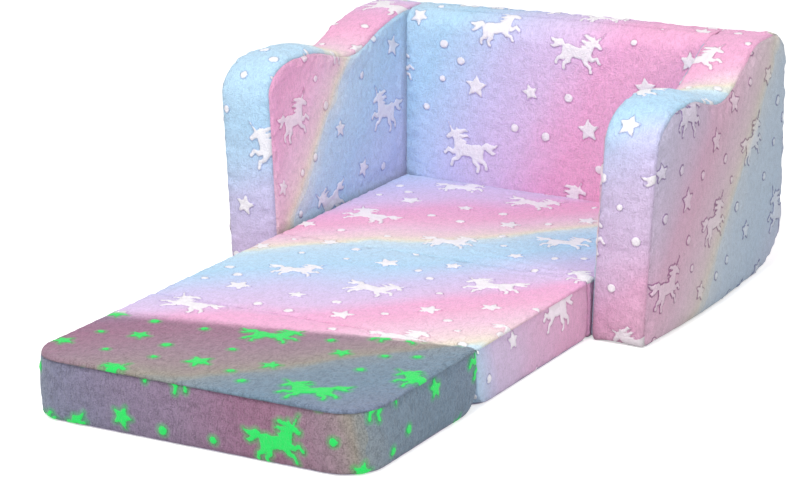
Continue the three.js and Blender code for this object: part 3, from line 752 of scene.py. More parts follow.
def plush_material():
    """Short pile plush: the rainbow print, pale raised motifs, and their green glow where it is dusk."""
    g = Graph(bpy.data.materials.new("plush"))
    brushed = g.node(
        "ShaderNodeMapping",
        {"Vector": g.place("UV"), "Rotation": (0, 0, BRUSHED_TURN), "Scale": (1.0, BRUSHED_STRETCH, 1.0)},
    )
    tufts = g.noise(300, 3, 0.6, brushed.outputs["Vector"], 1.4)
    grain = g.noise(460, 2, 0.6)
    clump = g.noise(95, 3, 0.6)
    wander = g.times(g.less(g.noise(14, 2), 0.5), PRINT_WANDER)
    phase = g.math("FRACT", g.math("ADD", g.value("phase"), wander), 0.0)
    ramp = g.node("ShaderNodeValToRGB", {"Fac": phase})
    stops = ramp.color_ramp.elements
    while len(stops) < len(PRINT_STOPS):
        stops.new(0.5)
    for stop, (place, color) in zip(stops, PRINT_STOPS):
        stop.position = place
        stop.color = linear(color)
    printed = ramp.outputs["Color"]
    # Painted shade: the print is greyed on the faces that lie in shade
    cloth = g.mix(g.value("side_shade"), printed, linear(SIDE_SHADE_COLOR))

    pile = g.math("ADD", g.times(tufts, 0.42), g.times(clump, 0.22))
    pile = g.math("ADD", pile, g.times(grain, 0.36))
    # Painted shade from the seam value: darker along the sewn edges and towards the floor
    darken = g.less(1.0, g.value("seam"))
    shade = g.times(g.spread(pile, *PILE_SPREAD, 0.83, 1.05), darken)
    pale_shade = g.times(g.spread(pile, *PILE_SPREAD, 0.95, 1.02), darken)

    fray = g.times(g.less(g.noise(260, 2), 0.5), MOTIF_FRAY)
    into = g.math("ADD", g.value("motif"), fray)
    motif = g.spread(into, -0.9, 1.1)
    # Painted shade on the motifs: where a cover lies in shade, its motifs are painted less white, as the
    # white value gives
    white = g.times(motif, g.value("white"))
    # Painted shade round the raised motifs: a darker, deeper-coloured band just outside each one, stronger
    # where the motifs are painted less white
    rim = g.times(g.spread(into, -3.0, -0.4), g.less(1.0, g.spread(into, -0.4, 1.0)))
    rim_shade = g.spread(g.value("white"), 0.3, 1.0, 0.95, 0.36)
    deeper = g.mix(1.0, g.mix(1.0, cloth, cloth, "MULTIPLY"), linear(MOTIF_SHADE), "MULTIPLY")
    cloth = g.shaded(g.mix(g.times(rim, rim_shade), cloth, deeper), shade)
    pale = g.mix(0.08, linear(MOTIF_WHITE), printed)
    cloth = g.mix(white, cloth, g.shaded(pale, pale_shade))

    dusk = g.value("dusk")
    cloth = g.mix(dusk, cloth, g.shaded(cloth, g.spread(pile, 0.38, 0.58, 0.84, 1.10)))
    cloth = g.mix(1.0, cloth, g.mix(dusk, WHITE, linear(DUSK_TINT)), "MULTIPLY")
    shining = g.spread(dusk, 0.25, 0.7)
    glow = g.times(motif, shining)
    halo = g.times(g.times(g.spread(into, -8.0, 0.0), HALO_SHARE), shining)
    cloth = g.mix(glow, g.mix(halo, cloth, linear(GLOW_CLOTH)), linear(GLOW_CLOTH))
    lit = g.math("MAXIMUM", glow, g.times(halo, HALO_GLOW))
    below = g.bump(pile, 1.0, 5.0 * MM)
    g.surface({
        "Base Color": cloth, "Roughness": 0.95, "Specular IOR Level": 0.1,
        "Emission Color": g.mix(lit, BLACK, linear(GLOW_GREEN)), "Emission Strength": GLOW_STRENGTH,
        "Normal": g.bump(g.spread(into, -2.2, 1.6), 0.9, 1.6 * MM, below),
        "Sheen Weight": 0.30, "Sheen Roughness": 0.35, "Sheen Tint": (1.0, 0.98, 1.0, 1.0),
    })
    return g.owner


def cloth_material(name, color, weave=1400):
    """A plain woven cloth with a fine grain."""
    g = Graph(bpy.data.materials.new(name))
    place = g.place()
    inputs = {"Vector": place, "Scale": weave / (2 * math.pi), "Distortion": 1.2, "Detail Scale": 2}
    threads = [g.node("ShaderNodeTexWave", inputs, bands_direction=axis).outputs["Fac"] for axis in "XYZ"]
    weft = g.times(g.math("MAXIMUM", threads[0], threads[2]), threads[1])
    tone = g.math("ADD", g.times(weft, 0.35), g.times(g.noise(45, 3), 0.4))
    g.surface({
        "Base Color": g.mix(tone, toned(color, 0.86), linear(color)),
        "Normal": g.bump(weft, 0.4, 0.3 * MM), "Roughness": 0.85, "Sheen Weight": 0.15,
    })
    return g.owner


def foam_material(name, color):
    """Open cell foam."""
    g = Graph(bpy.data.materials.new(name))
    cells = g.node("ShaderNodeTexVoronoi", {"Vector": g.place(), "Scale": 650}).outputs["Distance"]
    g.surface({
        "Base Color": g.mix(g.spread(cells, 0.1, 0.8), linear(color), toned(color, 0.8)),
        "Normal": g.bump(cells, 0.5, 0.5 * MM), "Roughness": 0.95,
    })
    return g.owner


def metal_material(name, color):
    """Plated zip metal, rubbed a little brighter in places."""
    g = Graph(bpy.data.materials.new(name))
    wear = g.noise(300, 3)
    g.surface({
        "Base Color": g.mix(wear, linear(color), toned(color, 1.12)),
        "Roughness": g.spread(wear, 0.3, 0.7, 0.24, 0.4), "Metallic": 1.0,
        "Normal": g.bump(wear, 0.15, 0.1 * MM),
    })
    return g.owner


def nylon_material(name, color):
    """Moulded nylon of the zip teeth."""
    g = Graph(bpy.data.materials.new(name))
    cloudy = g.noise(160, 2)
    g.surface({
        "Base Color": g.mix(cloudy, linear(color), toned(color, 1.06)),
        "Roughness": g.spread(cloudy, 0.3, 0.7, 0.35, 0.5),
        "Normal": g.bump(g.noise(900, 2), 0.1, 0.1 * MM),
    })
    return g.owner


PLUSH = plush_material()
BASE_CLOTH = cloth_material("base_cloth", (0.80, 0.76, 0.86))
TAPE = cloth_material("tape", (0.86, 0.80, 0.92), 2200)
FOAM = foam_material("foam", (0.95, 0.92, 0.82))
METAL = metal_material("zip_metal", (0.76, 0.77, 0.80))
NYLON = nylon_material("zip_nylon", (0.90, 0.86, 0.95))


def zip_zones(node, swings=False):
    """Where a cover is pressed flat: along the way of a zip's pull, and deeper under its chain.

    Each zone is a box, the axis that points out of the cover and the plane that the cover is pressed to.
    """
    chain = np.array(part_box(node))
    size = chain[1] - chain[0]
    along, out = int(np.argmax(size)), int(np.argmin(size))
    sign = 1 if chain[0][out] > 0 else -1
    zones = []
    for part in (node + "_pull", node):
        low, high = np.array(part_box(part)) + np.array([[-ZIP_MARGIN], [ZIP_MARGIN]])
        low[along], high[along] = chain[0][along] - ZIP_END, chain[1][along] + ZIP_END
        plane = (low[out] if sign > 0 else high[out]) + sign * ZIP_DEPTH
        if swings and part.endswith("_pull"):
            high[2] += high[2] - low[2]
        low[out] -= ZIP_REACH
        high[out] += ZIP_REACH
        zones.append((low, high, out, plane))
    return zones


# The arms
def print_at(places, marks):
    """The print's phase from (place, phase) marks."""
    return np.interp(places, *zip(*marks))


# The print on the arms: how far it slants, how far it is shifted, and its phase at places
OUTER_SLANT, INNER_SLANT = 0.886, 0.826
OUTER_MARKS = (
    (-0.34, 0.30), (-0.22, 0.40), (-0.10, 0.55), (0.0, 0.72), (0.08, 0.84), (0.135, 0.94),
    (0.165, 1.0), (0.30, 1.08), (0.40, 1.16), (0.55, 1.34),
)
INNER_MARKS = (
    (-0.25, 0.66), (-0.15, 0.74), (-0.08, 0.86), (-0.045, 0.955), (-0.028, 1.0), (0.10, 1.12),
    (0.22, 1.24), (0.32, 1.33), (0.42, 1.45),
)
OUTER_SHIFT = {-1: -0.09, 1: 0.0}
INNER_SHIFT = {-1: 0.0, 1: 0.07}
GUSSET_SLANT = {-1: -0.3, 1: 0.80}
GUSSET_MARKS = {
    1: ((-0.07, 0.76), (0.0, 0.70), (0.03, 0.63), (0.07, 0.55), (0.14, 0.47), (0.22, 0.40), (0.28, 0.30),
        (0.325, 0.14), (0.40, 0.08), (0.54, 0.03), (0.575, -0.02), (0.597, -0.11), (0.63, -0.27),
        (0.68, -0.34), (0.80, -0.37), (0.92, -0.42)),
    -1: ((0.0, 0.46), (0.10, 0.42), (0.17, 0.34), (0.23, 0.16), (0.32, 0.08), (0.46, 0.04),
         (0.53, -0.01), (0.56, -0.07), (0.61, -0.20), (0.68, -0.34), (0.75, -0.42), (0.90, -0.60)),
}
GUSSET_CUT = {-1: (-4, (0.16, 0.02)), 1: (4, (0.02, 0.1))}


def side_grid(depth, line, fine_high=True):
    """Rows and columns over the side of an arm: y, z and the distance from the sewn line."""
    y = stations(SEAM_INSET, depth, COARSE, fine_high=fine_high)
    share = stations(0, ARM_HEIGHT, COARSE) / ARM_HEIGHT
    low, high = outline_bottom(y) + SEAM_INSET, outline_top(y) - SEAM_INSET
    z = low[None] + (high - low)[None] * share[:, None]
    y = np.broadcast_to(y, z.shape)
    edge = distance_to(np.stack([y.ravel(), z.ravel()], 1), line).reshape(z.shape) - SEAM_INSET
    return y, z, np.maximum(edge, 0)


def outer_cover(side, name):
    line = np.vstack([front_path(), rear_path()[1:], front_path()[:1]])
    y, z, edge = side_grid(DEPTH - SEAM_INSET, line)
    x = OUTER - roll(edge) + crown(edge - EDGE_ROLL, SIDE_CROWN, CROWN_REACH) - 1 * MM
    x = x + LOW_BULGE * np.exp(-z / LOW_BULGE_REACH) * np.sin(np.pi * np.clip(y / HEEL_START, 0, 1))
    phase = print_at(y - OUTER_SLANT * z + OUTER_SHIFT[side], OUTER_MARKS)
    # Painted shade: the outer side lies in shade, so its print is greyed and its motifs are painted much
    # less white
    return plush_sheet(
        name, settled(leaned(x, y, z, side)), np.stack([side * y, z], -1), phase, edge,
        cut=(8 * side, (0.05, 0.11)), seed=11 + side, turn=(True, side < 0), side_shade=0.50, white=0.30,
        pressure=4.0, cap=5 * MM, spare=0.03,
    )


def inner_cover(side, name):
    y, z, edge = side_grid(BACK_FACE + BEHIND_BACK_FACE, front_path(), fine_high=False)
    free = smooth((z - 0.09) / 0.05) * smooth((BACK_FACE - y) / 0.05)
    room = FOLDED_ROOM * smooth(edge / FOLDED_ROOM_REACH)
    room = room * smooth((z - 0.085) / 0.02) * smooth((BACK_FACE - y) / 0.03)
    x = INNER + roll(edge) - crown(edge - EDGE_ROLL, INNER_CROWN, CROWN_REACH) * free + room
    phase = print_at(y - INNER_SLANT * z + INNER_SHIFT[side], INNER_MARKS)
    # Painted shade: the right inner side is greyed a little, and the motifs of both inner sides are painted
    # less white
    return plush_sheet(
        name, settled(leaned(x, y, z, side)), np.stack([-side * y, z], -1), phase,
        np.minimum(edge, 30 * MM * free), cut=(-6 * side, (0.21, 0.02)), seed=23 + side,
        turn=(True, side > 0), side_shade=0.0 if side < 0 else 0.16, white=0.72, pressure=3.0,
        cap=1.2 * MM, spare=0.02,
    )


def crown_share(y, z):
    nose = np.clip((1 + y / NOSE_RUN) / 2, 0, 1)
    rear = np.clip((SHOULDER_END - y) / (SHOULDER_END - SADDLE_AT), 0.15, 1)
    toe = np.clip(2 * z / (ARM_HEIGHT - NOSE_RISE), 0, 1)
    return nose * rear * toe


def gusset(side, name):
    path = front_path()
    s = stations(0, path_length(path), COARSE)
    x = stations(INNER + SEAM_INSET, OUTER - SEAM_INSET, COARSE)
    line, normal = along(path, s)
    edge = edge_distance(x, s)
    across = (2 * x - INNER - OUTER) / (OUTER - INNER)
    share = crown_share(line[:, 0], line[:, 1])
    rise = GUSSET_CROWN * share[:, None] * (1 - across**2)[None] - roll(edge)
    y, z = raised(line, normal, rise)
    points = settled(leaned(np.broadcast_to(x, y.shape), y, z, side))
    flat = np.stack(np.broadcast_arrays(side * x[None], s[:, None]), -1)
    phase = print_at(s[:, None] - GUSSET_SLANT[side] * (x[None] - INNER), GUSSET_MARKS[side])
    # Painted shade: the lower front face is greyed, more on the right arm, and darkened towards the floor
    return plush_sheet(
        name, points, flat, phase, edge, cut=GUSSET_CUT[side], seed=31 + side, turn=(False, side > 0),
        side_shade=FRONT_SHADE[side] * smooth((FRONT_SHADE_TOP - points[..., 2]) / FRONT_SHADE_SPAN),
        low_shade=LOW_SHADE * np.exp(-points[..., 2] / LOW_SHADE_REACH),
        pressure=4.0, cap=2.5 * MM, spare=0.02, pucker=GUSSET_PUCKER, pucker_shape=(0.3, 1, 1),
    )


for side, label in ((-1, "left_arm"), (1, "right_arm")):
    finish_cover(outer_cover(side, label + "_outer_plush"), "frame", label + "_outer_cover")
    finish_cover(inner_cover(side, label + "_inner_plush"), "frame", label + "_inner_cover")
    finish_cover(gusset(side, label + "_gusset_plush"), "frame", label + "_gusset")


# The backrest: the print runs down and to the right
BACK_SLOPE = 0.48
BACK_MARKS = (
    (-0.45, -0.52), (-0.25, -0.24), (-0.10, -0.02), (0.0, 0.05), (0.09, 0.12), (0.15, 0.24), (0.22, 0.37),
    (0.29, 0.47), (0.36, 0.57), (0.43, 0.65), (0.54, 0.70), (0.64, 0.74), (0.80, 0.80),
)


def back_pad():
    face = BACK_FACE + COVER
    turn_over = arc((face + BACK_ROLL, BACK_HEIGHT - BACK_ROLL), BACK_ROLL, BACK_ROLL, 180, 90)
    path = np.vstack([[[face, 0.05]], turn_over])
    s = stations(0, path_length(path), COARSE, fine_low=False)
    reach = INNER + BACK_OVERLAP
    x = stations(-reach, reach, COARSE)
    line, normal = along(path, s)
    sides, end = np.minimum(x + reach, reach - x)[None], (s[-1] - s)[:, None]
    edge = np.minimum(sides, end)
    rise = crown(edge, BACK_PAD_CROWN, BACK_CROWN_REACH) - roll(sides, 3 * MM) - roll(end, 2.5 * MM)
    y, z = raised(line, normal, rise)
    X, S = np.broadcast_arrays(x[None], s[:, None])
    phase = print_at(X + INNER + BACK_SLOPE * (s[-1] - 0.03 - S), BACK_MARKS)
    return plush_sheet(
        "back_front_plush", settled(np.stack([X, y + ARM_FRONT, z], -1)), np.stack([X, S], -1), phase,
        edge, cut=(0, (0.06, 0.17)), seed=41, pressure=4.0, cap=5 * MM, spare=0.025, **PANEL_SEAMS,
    )


def top_strip():
    x = stations(-INNER - BACK_OVERLAP, INNER + BACK_OVERLAP, COARSE)
    y = stations(BACK_FACE + COVER + BACK_ROLL, REAR_SEAM - SEAM_INSET, COARSE)
    X, Y = np.meshgrid(x, y)
    edge = edge_distance(x, y)
    Z = BACK_HEIGHT - roll(edge, 2.5 * MM) + 1 * MM * smooth(edge / (15 * MM))
    phase = print_at(X + INNER - BACK_SLOPE * (Y - y[0] + 0.03), BACK_MARKS)
    return plush_sheet(
        "back_top_plush", settled(np.stack([X, Y + ARM_FRONT, Z], -1)), np.stack([X, Y], -1), phase,
        edge, cut=(0, (0.3, 0.2)), seed=43, **PANEL_SEAMS,
    )


def rear_cover():
    """The rear cover, with a narrow band of the arms' outer covers at its sides."""
    path = rear_path()
    s = stations(SEAM_INSET, path_length(path) - 1 * MM, WIDE)
    x = stations(-OUTER + REAR_INSET, OUTER - REAR_INSET, WIDE)
    line, normal = along(path, s)
    edge = edge_distance(x, s)
    y, z = raised(line, normal, crown(edge - EDGE_ROLL, 2.5 * MM, BACK_CROWN_REACH) - roll(edge))
    X, S = np.broadcast_arrays(x[None], s[:, None])
    points = settled(np.stack([X, y + ARM_FRONT, z], -1))
    strip = REAR_SEAM - BACK_FACE - BACK_ROLL
    phase = print_at(X + INNER - BACK_SLOPE * (strip + 0.03 + S), BACK_MARKS)
    sides = OUTER - REAR_INSET - np.abs(X)
    ahead = points[..., 1] - ARM_FRONT - OUTER_SLANT * points[..., 2]
    turn_over = print_at(ahead + np.where(X < 0, OUTER_SHIFT[-1], OUTER_SHIFT[1]), OUTER_MARKS)
    # Painted shade: the narrow bands at the sides are greyed like the arms' outer sides
    return plush_sheet(
        "back_rear_plush", points, np.stack([-X, -S], -1), np.where(sides < 12 * MM, turn_over, phase),
        edge, cut=(0, (0.1, 0.05)), seed=47, side_shade=0.38 * (1 - smooth((sides - 8 * MM) / (10 * MM))),
        pressure=4.0, cap=4 * MM, spare=0.025, zips=zip_zones("frame_zip", swings=True),
    )


finish_cover(back_pad(), "frame", "back_front_cover")
finish_cover(top_strip(), "frame", "back_top_strip")
finish_cover(rear_cover(), "frame", "back_rear_cover")

# The mattress print: how far ahead of its first cream line a place lies, and its phase there
LINE_X = (-0.30, -0.189, -0.119, -0.029, 0.031, 0.151, 0.30)
LINE_Y = (-0.080, 0.031, 0.096, 0.131, 0.186, 0.331, 0.510)
AHEAD_MARKS = (
    (-0.60, 0.16), (-0.48, 0.28), (-0.38, 0.40), (-0.30, 0.48), (-0.22, 0.60), (-0.13, 0.73),
    (-0.06, 0.87), (-0.02, 0.95), (0.0, 1.0), (0.13, 1.10), (0.20, 1.25), (0.27, 1.38), (0.35, 1.48),
    (0.42, 1.60), (0.50, 1.71), (0.60, 1.83), (0.67, 1.91), (0.715, 1.96), (0.735, 2.0),
    (0.90, 2.12), (1.2, 2.4),
)

# Dusk falls over the far end of the mattress, past a slanting line
DUSK_LEFT_Y, DUSK_RIGHT_Y, DUSK_SOFT = -0.405, -0.287, 0.022


def mattress_phase(x, y):
    return print_at(np.interp(x, LINE_X, LINE_Y) - y, AHEAD_MARKS)


def dusk_share(x, y):
    share = np.clip((x + INNER) / (2 * INNER), 0, 1)
    line = DUSK_LEFT_Y + (DUSK_RIGHT_Y - DUSK_LEFT_Y) * share
    return smooth((line - y) / (DUSK_SOFT * (1.2 - share)) / 2 + 0.5)


class Panel:
    """One mattress panel, with its plan taken from the frame."""

    def __init__(self, name, front_radii, heels, rear_fold, front_fold, inset, edge_roll):
        self.name = name
        low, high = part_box(name + "_boxing")
        self.low, self.high = np.array([low.x, low.y]), np.array([high.x, high.y])
        self.size = self.high - self.low
        self.radii = (*front_radii, CORNER_RADIUS, CORNER_RADIUS)
        self.front_heel, self.rear_heel = heels
        self.edge_roll = edge_roll
        self.rear_roll = FOLD_ROLL if rear_fold else edge_roll
        self.front_roll = FOLD_ROLL if front_fold else edge_roll
        self.inset = inset

    def plan(self, across, deep, grow=0.0, radii=None):
        """A place in the rounded plan, from its place in the full rectangle."""
        x = self.low[0] + across
        y = self.low[1] + deep
        front_left, front_right, rear_left, rear_right = radii or self.radii
        left = across < self.size[0] / 2
        front = np.where(left, front_left, front_right)
        rear = np.where(left, rear_left, rear_right)
        radius = np.where(deep < self.size[1] / 2, front, rear) + grow
        core_x = np.clip(x, self.low[0] + radius, self.high[0] - radius)
        core_y = np.clip(y, self.low[1] + radius, self.high[1] - radius)
        dx, dy = x - core_x, y - core_y
        far = np.maximum(np.abs(dx), np.abs(dy))
        length = np.sqrt(dx**2 + dy**2)
        scale = np.where(length > 0, far / np.maximum(length, 1e-9), 1)
        return core_x + dx * scale, core_y + dy * scale

    def loop(self, step):
        """Places round the plan, from the rear left corner, seen from above against the clock."""
        a = stations(0, self.size[0], step)
        b = stations(0, self.size[1], step)
        across = np.concatenate([0 * b[:-1], a[:-1], self.size[0] + 0 * b[:-1], a[::-1]])
        deep = np.concatenate([b[::-1][:-1], 0 * a[:-1], b[:-1], self.size[1] + 0 * a])
        return across, deep

    def heeled(self, x, y, z):
        """Round off the lower ends of a fold."""
        side = np.minimum(x - self.low[0], self.high[0] - x)
        under = np.clip(1 - z / FOLD_HEEL, 0, 1)
        cut = FOLD_HEEL * (1 - np.sqrt(1 - under**2)) * (1 - smooth(side / FOLD_HEEL_WIDTH))
        front = smooth(1 - (y - self.low[1]) / FOLD_HEEL_DEPTH) * self.front_heel
        rear = smooth(1 - (self.high[1] - y) / FOLD_HEEL_DEPTH) * self.rear_heel
        return y + cut * (front - rear)


CREASES = {
    "seat_panel": (
        ((0.05, 0.118), (0.20, 0.098), 1.3 * MM, 6 * MM),
        ((-0.16, 0.420), (-0.04, 0.446), 1.1 * MM, 7 * MM),
        ((0.03, 0.150), (0.13, 0.162), 0.7 * MM, 5 * MM),
    ),
    "second_panel": (
        ((0.10, 0.048), (0.235, 0.058), 1.0 * MM, 6 * MM),
        ((-0.24, -0.262), (-0.13, -0.268), 0.9 * MM, 5 * MM),
    ),
    "third_panel": (
        ((0.06, -0.316), (0.20, -0.310), 0.8 * MM, 6 * MM),
    ),
}


def panel_top(panel, cut, seed):
    size = panel.size
    across = stations(panel.inset, size[0] - panel.inset, COARSE)
    deep = stations(0, size[1], COARSE)
    A, D = np.meshgrid(across, deep)
    x, y = panel.plan(A, D, panel.edge_roll)
    sides = np.minimum(A - across[0], across[-1] - A)
    edge = edge_distance(across, deep)
    drop = np.maximum.reduce([
        roll(sides, panel.edge_roll), roll(D, panel.front_roll), roll(size[1] - D, panel.rear_roll),
    ])
    z = PANEL_EDGE - drop + crown(edge - EDGE_ROLL, PANEL_CROWN, PANEL_CROWN_REACH)
    return plush_sheet(
        panel.name + "_top_plush", np.stack([x, y, z], -1), np.stack([x, y], -1), mattress_phase(x, y),
        edge, cut=cut, seed=seed, dusk=dusk_share(x, y), pressure=3.0, cap=1.0 * MM, spare=0.015,
        creases=CREASES[panel.name], **PANEL_SEAMS,
    )


def panel_boxing(panel, marks, side_shade, cut, seed):
    across, deep = panel.loop(COARSE)
    z = stations(1.5 * MM, PANEL_EDGE - SEAM_INSET, COARSE)
    top = z[-1] - z
    under = np.clip(LOWER_ROUND - z, 0, None)
    lower = LOWER_ROUND - np.sqrt(np.clip(LOWER_ROUND**2 - under**2, 0, None))
    bulge = PANEL_BULGE * (1 - np.sin(np.pi * np.clip(z / PANEL_EDGE, 0, 1)))
    inset = panel.inset + roll(top, min(5 * MM, panel.edge_roll)) + lower + bulge
    x, y = panel.plan(across[None], deep[None], inset[:, None])
    run_x, run_y = (np.roll(part[:, :-1], -1, 1) - np.roll(part[:, :-1], 1, 1) for part in (x, y))
    run = np.hypot(run_x, run_y)
    out_x, out_y = (np.concatenate([part, part[:, :1]], 1) for part in (run_y / run, -run_x / run))
    Z = np.broadcast_to(z[:, None], x.shape)
    X = x - out_x * inset[:, None]
    Y = panel.heeled(X, y - out_y * inset[:, None], Z)
    length = np.concatenate([[0], np.cumsum(np.hypot(np.diff(x[-1]), np.diff(y[-1])))])
    U = np.broadcast_to(length[None], X.shape)
    edge = np.broadcast_to(np.minimum(top, z)[:, None], X.shape)
    back = Y - panel.low[1]
    turned_left, turned_right = (print_at(X + side * back + 0.25 * Z, marks) for side in (-1, 1))
    # Painted shade: the sides are greyed by the given share, and their motifs are painted a little less
    # white
    return plush_sheet(
        panel.name + "_boxing_plush", np.stack([X, Y, Z], -1), np.stack([U, Z], -1),
        turned_left + (turned_right - turned_left) * smooth((X + 0.1) / 0.2), edge, cut=cut, seed=seed,
        dusk=dusk_share(X, Y) * (panel.name == "third_panel"), side_shade=side_shade, white=0.85, ring=True,
        pressure=2.0, cap=1.2 * MM, spare=0.02, zips=zip_zones(panel.name + "_zip"), tuck=3 * MM,
        **PANEL_SEAMS,
    )


def hemmed_sheet(name, x, y, edge, lowest, hem_width):
    """A cloth held flat under a piece, with its hem turned up a little."""
    z = lowest + CLOTH_SHEET_HEM * (1 - smooth(edge / hem_width))
    return woven_sheet(name, np.stack([x, y, z], -1), CLOTH_SHEET)


def bottom_cloth(panel):
    inset = 2 * 0.62 * LOWER_ROUND
    across, deep = (stations(0, length, CLOTH_SHEET_STEP) for length in panel.size)
    heels = (panel.front_heel, panel.front_heel, panel.rear_heel, panel.rear_heel)
    radii = [max(own, heel * FOLD_HEEL) for own, heel in zip(panel.radii, heels)]
    x, y = panel.plan(*np.meshgrid(across, deep), radii=radii)
    centre = (panel.low + panel.high) / 2
    x = centre[0] + (x - centre[0]) * (1 - inset / panel.size[0])
    y = centre[1] + (y - centre[1]) * (1 - inset / panel.size[1])
    edge = edge_distance(across, deep)
    piece = hemmed_sheet(panel.name + "_bottom_sheet", x, y, edge, LOWEST, 12 * MM)
    return piece, tuple(float(v) for v in panel.size - inset)


SQUARE_FRONT = (CORNER_RADIUS, CORNER_RADIUS)
ROUND_FRONT = (FRONT_LEFT_RADIUS, FRONT_RIGHT_RADIUS)
SEAT = Panel("seat_panel", SQUARE_FRONT, (0, 0), False, True, 1.8 * MM, EDGE_ROLL)
SECOND = Panel("second_panel", SQUARE_FRONT, (1, 0), True, True, 1.8 * MM, 5 * MM)
THIRD = Panel("third_panel", ROUND_FRONT, (0, 1), True, False, 1.0 * MM, 4.5 * MM)

# The print round the panels, along the fronts and the sides
FRONT_MARKS = (
    (-0.60, 0.02), (-0.29, 0.17), (-0.22, 0.30), (-0.12, 0.40), (0.0, 0.52), (0.10, 0.62), (0.17, 0.74),
    (0.23, 0.86), (0.262, 0.95), (0.285, 1.0), (0.45, 1.10), (0.60, 1.16),
)
SIDE_MARKS = (
    (-0.65, 0.60), (-0.40, 0.48), (-0.27, 0.20), (0.0, 0.30), (0.272, 0.10), (0.30, 0.26), (0.34, 0.45),
    (0.45, 0.56), (0.65, 0.66),
)
SEAT_MARKS = ((-0.65, 0.60), (0.0, 0.50), (0.20, 0.60), (0.65, 0.66))

# The third number is the painted side shade: how far each panel's sides are greyed
for panel, marks, side_shade, seed in (
    (SEAT, SEAT_MARKS, 0.1, 51), (SECOND, SIDE_MARKS, 0.26, 57), (THIRD, FRONT_MARKS, 0.12, 63),
):
    body = "frame" if panel is SEAT else panel.name
    top = finish_cover(panel_top(panel, (0, (0.10, 0.05)), seed), body, panel.name + "_top")
    boxing = panel_boxing(panel, marks, side_shade, (3, (0.02, 0.13)), seed + 2)
    finish_cover(boxing, body, panel.name + "_boxing")
    bottom, flat_size = bottom_cloth(panel)
    finish(bottom, body, panel.name + "_bottom", BASE_CLOTH)


def foam_block(node):
    """A cut block of foam, a little smaller than its cover, with softened edges."""
    piece = bpy.data.objects.new(node + "_block", bpy.data.objects[node].data.copy())
    bpy.context.scene.collection.objects.link(piece)
    in_edit_mode(piece, bpy.ops.mesh.remove_doubles, threshold=0.02 * MM)
    modify(piece, "DISPLACE", mid_level=0, strength=-FOAM_INSET)
    modify(piece, "REMESH", mode="VOXEL", voxel_size=FOAM_VOXEL)
    modify(piece, "SMOOTH", iterations=2)
    if "panel" not in node:
        move_to(piece, settled(places_of(piece)))
    bpy.ops.object.shade_smooth()
    return piece


for part in ("left_arm", "right_arm", "back", "seat_panel", "second_panel", "third_panel"):
    body = part if part in ("second_panel", "third_panel") else "frame"
    finish(foam_block(part + "_foam"), body, part + "_foam", FOAM)

# The cloths under the arms and the backrest
for label in ("left_arm", "right_arm", "back"):
    low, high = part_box(label + "_base_cloth")
    x, y = stations(low.x, high.x, 10 * MM), stations(low.y, high.y, 10 * MM)
    edge = edge_distance(x, y)
    sheet = hemmed_sheet(label + "_base_sheet", *np.meshgrid(x, y), edge, LOWEST + 0.1 * MM, 8 * MM)
    finish(sheet, "frame", label + "_base_cloth", BASE_CLOTH)


# The folds between the panels
def fold_grid(low, high, dip, top):
    X, Y = np.meshgrid(stations(low[0], high[0], COARSE), stations(low[1], high[1], 1.2 * MM))
    middle = (low[1] + high[1]) / 2
    return np.stack([X, Y, top - dip * np.exp(-(((Y - middle) / (2.5 * MM)) ** 2))], -1)


def seat_fold_strip():
    """The plush that the first two tops share, bridging their fold."""
    half = SEAT.high[0] - SEAT.inset - EDGE_ROLL
    low, high = (-half, ARM_FRONT - FOLD_HALF), (half, ARM_FRONT + FOLD_HALF)
    points = fold_grid(low, high, FOLD_DIP, FOLD_TOP)[::-1]
    piece = grid_piece("seat_fold_strip", points)
    plain = 0 * points[..., 0]
    values = {"phase": mattress_phase(points[..., 0], points[..., 1]), "motif": plain - NO_MOTIF / MM}
    set_values(piece, {**values, **dict.fromkeys(("dusk", "side_shade", "white", "seam"), plain)})
    thicken(piece, 1.0 * MM)
    finish(piece, None, "seat_fold_tape", PLUSH)
    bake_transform(piece)


def front_fold_strip():
    low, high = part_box("front_fold_tape")
    half = high.x - FOLD_HEEL / 2
    points = fold_grid((-half, low.y), (half, high.y), -0.3 * MM, low.z + 0.3 * MM)
    piece = woven_sheet("front_fold_strip", points, 0.6 * MM)
    finish(piece, None, "front_fold_tape", TAPE)
    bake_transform(piece)


seat_fold_strip()
front_fold_strip()


# Zips, made along X with Z outwards, then laid into the place of their nodes
def lay(piece, node, along_axis, out_axis, out_sign):
    """Move a piece made round the origin into a node's box."""
    axes = np.zeros((3, 3))
    axes[along_axis, 0] = 1
    axes[out_axis, 2] = out_sign
    axes[:, 1] = np.cross(axes[:, 2], axes[:, 0])
    move_to(piece, places_of(piece) @ axes.T + np.array(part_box(node)).mean(axis=0))
    return piece


def length_and_width(node, along_axis, out_axis):
    low, high = np.array(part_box(node))
    return (high - low)[along_axis], np.delete(high - low, [along_axis, out_axis])[0]


def box_piece(name, size, place=(0, 0, 0), bevel=0.25 * MM, segments=2):
    deselect()
    bpy.ops.mesh.primitive_cube_add(size=1, location=place, scale=size)
    piece = bpy.context.active_object
    piece.name = piece.data.name = name
    bpy.ops.object.transform_apply(location=True, rotation=True, scale=True)
    modify(piece, "BEVEL", width=bevel, segments=segments)
    bpy.ops.object.shade_smooth_by_angle(angle=math.radians(40))
    return piece


def join(name, pieces):
    deselect()
    for piece in pieces:
        piece.select_set(True)
    bpy.context.view_layer.objects.active = pieces[0]
    bpy.ops.object.join()
    joined = bpy.context.active_object
    joined.name = joined.data.name = name
    return joined


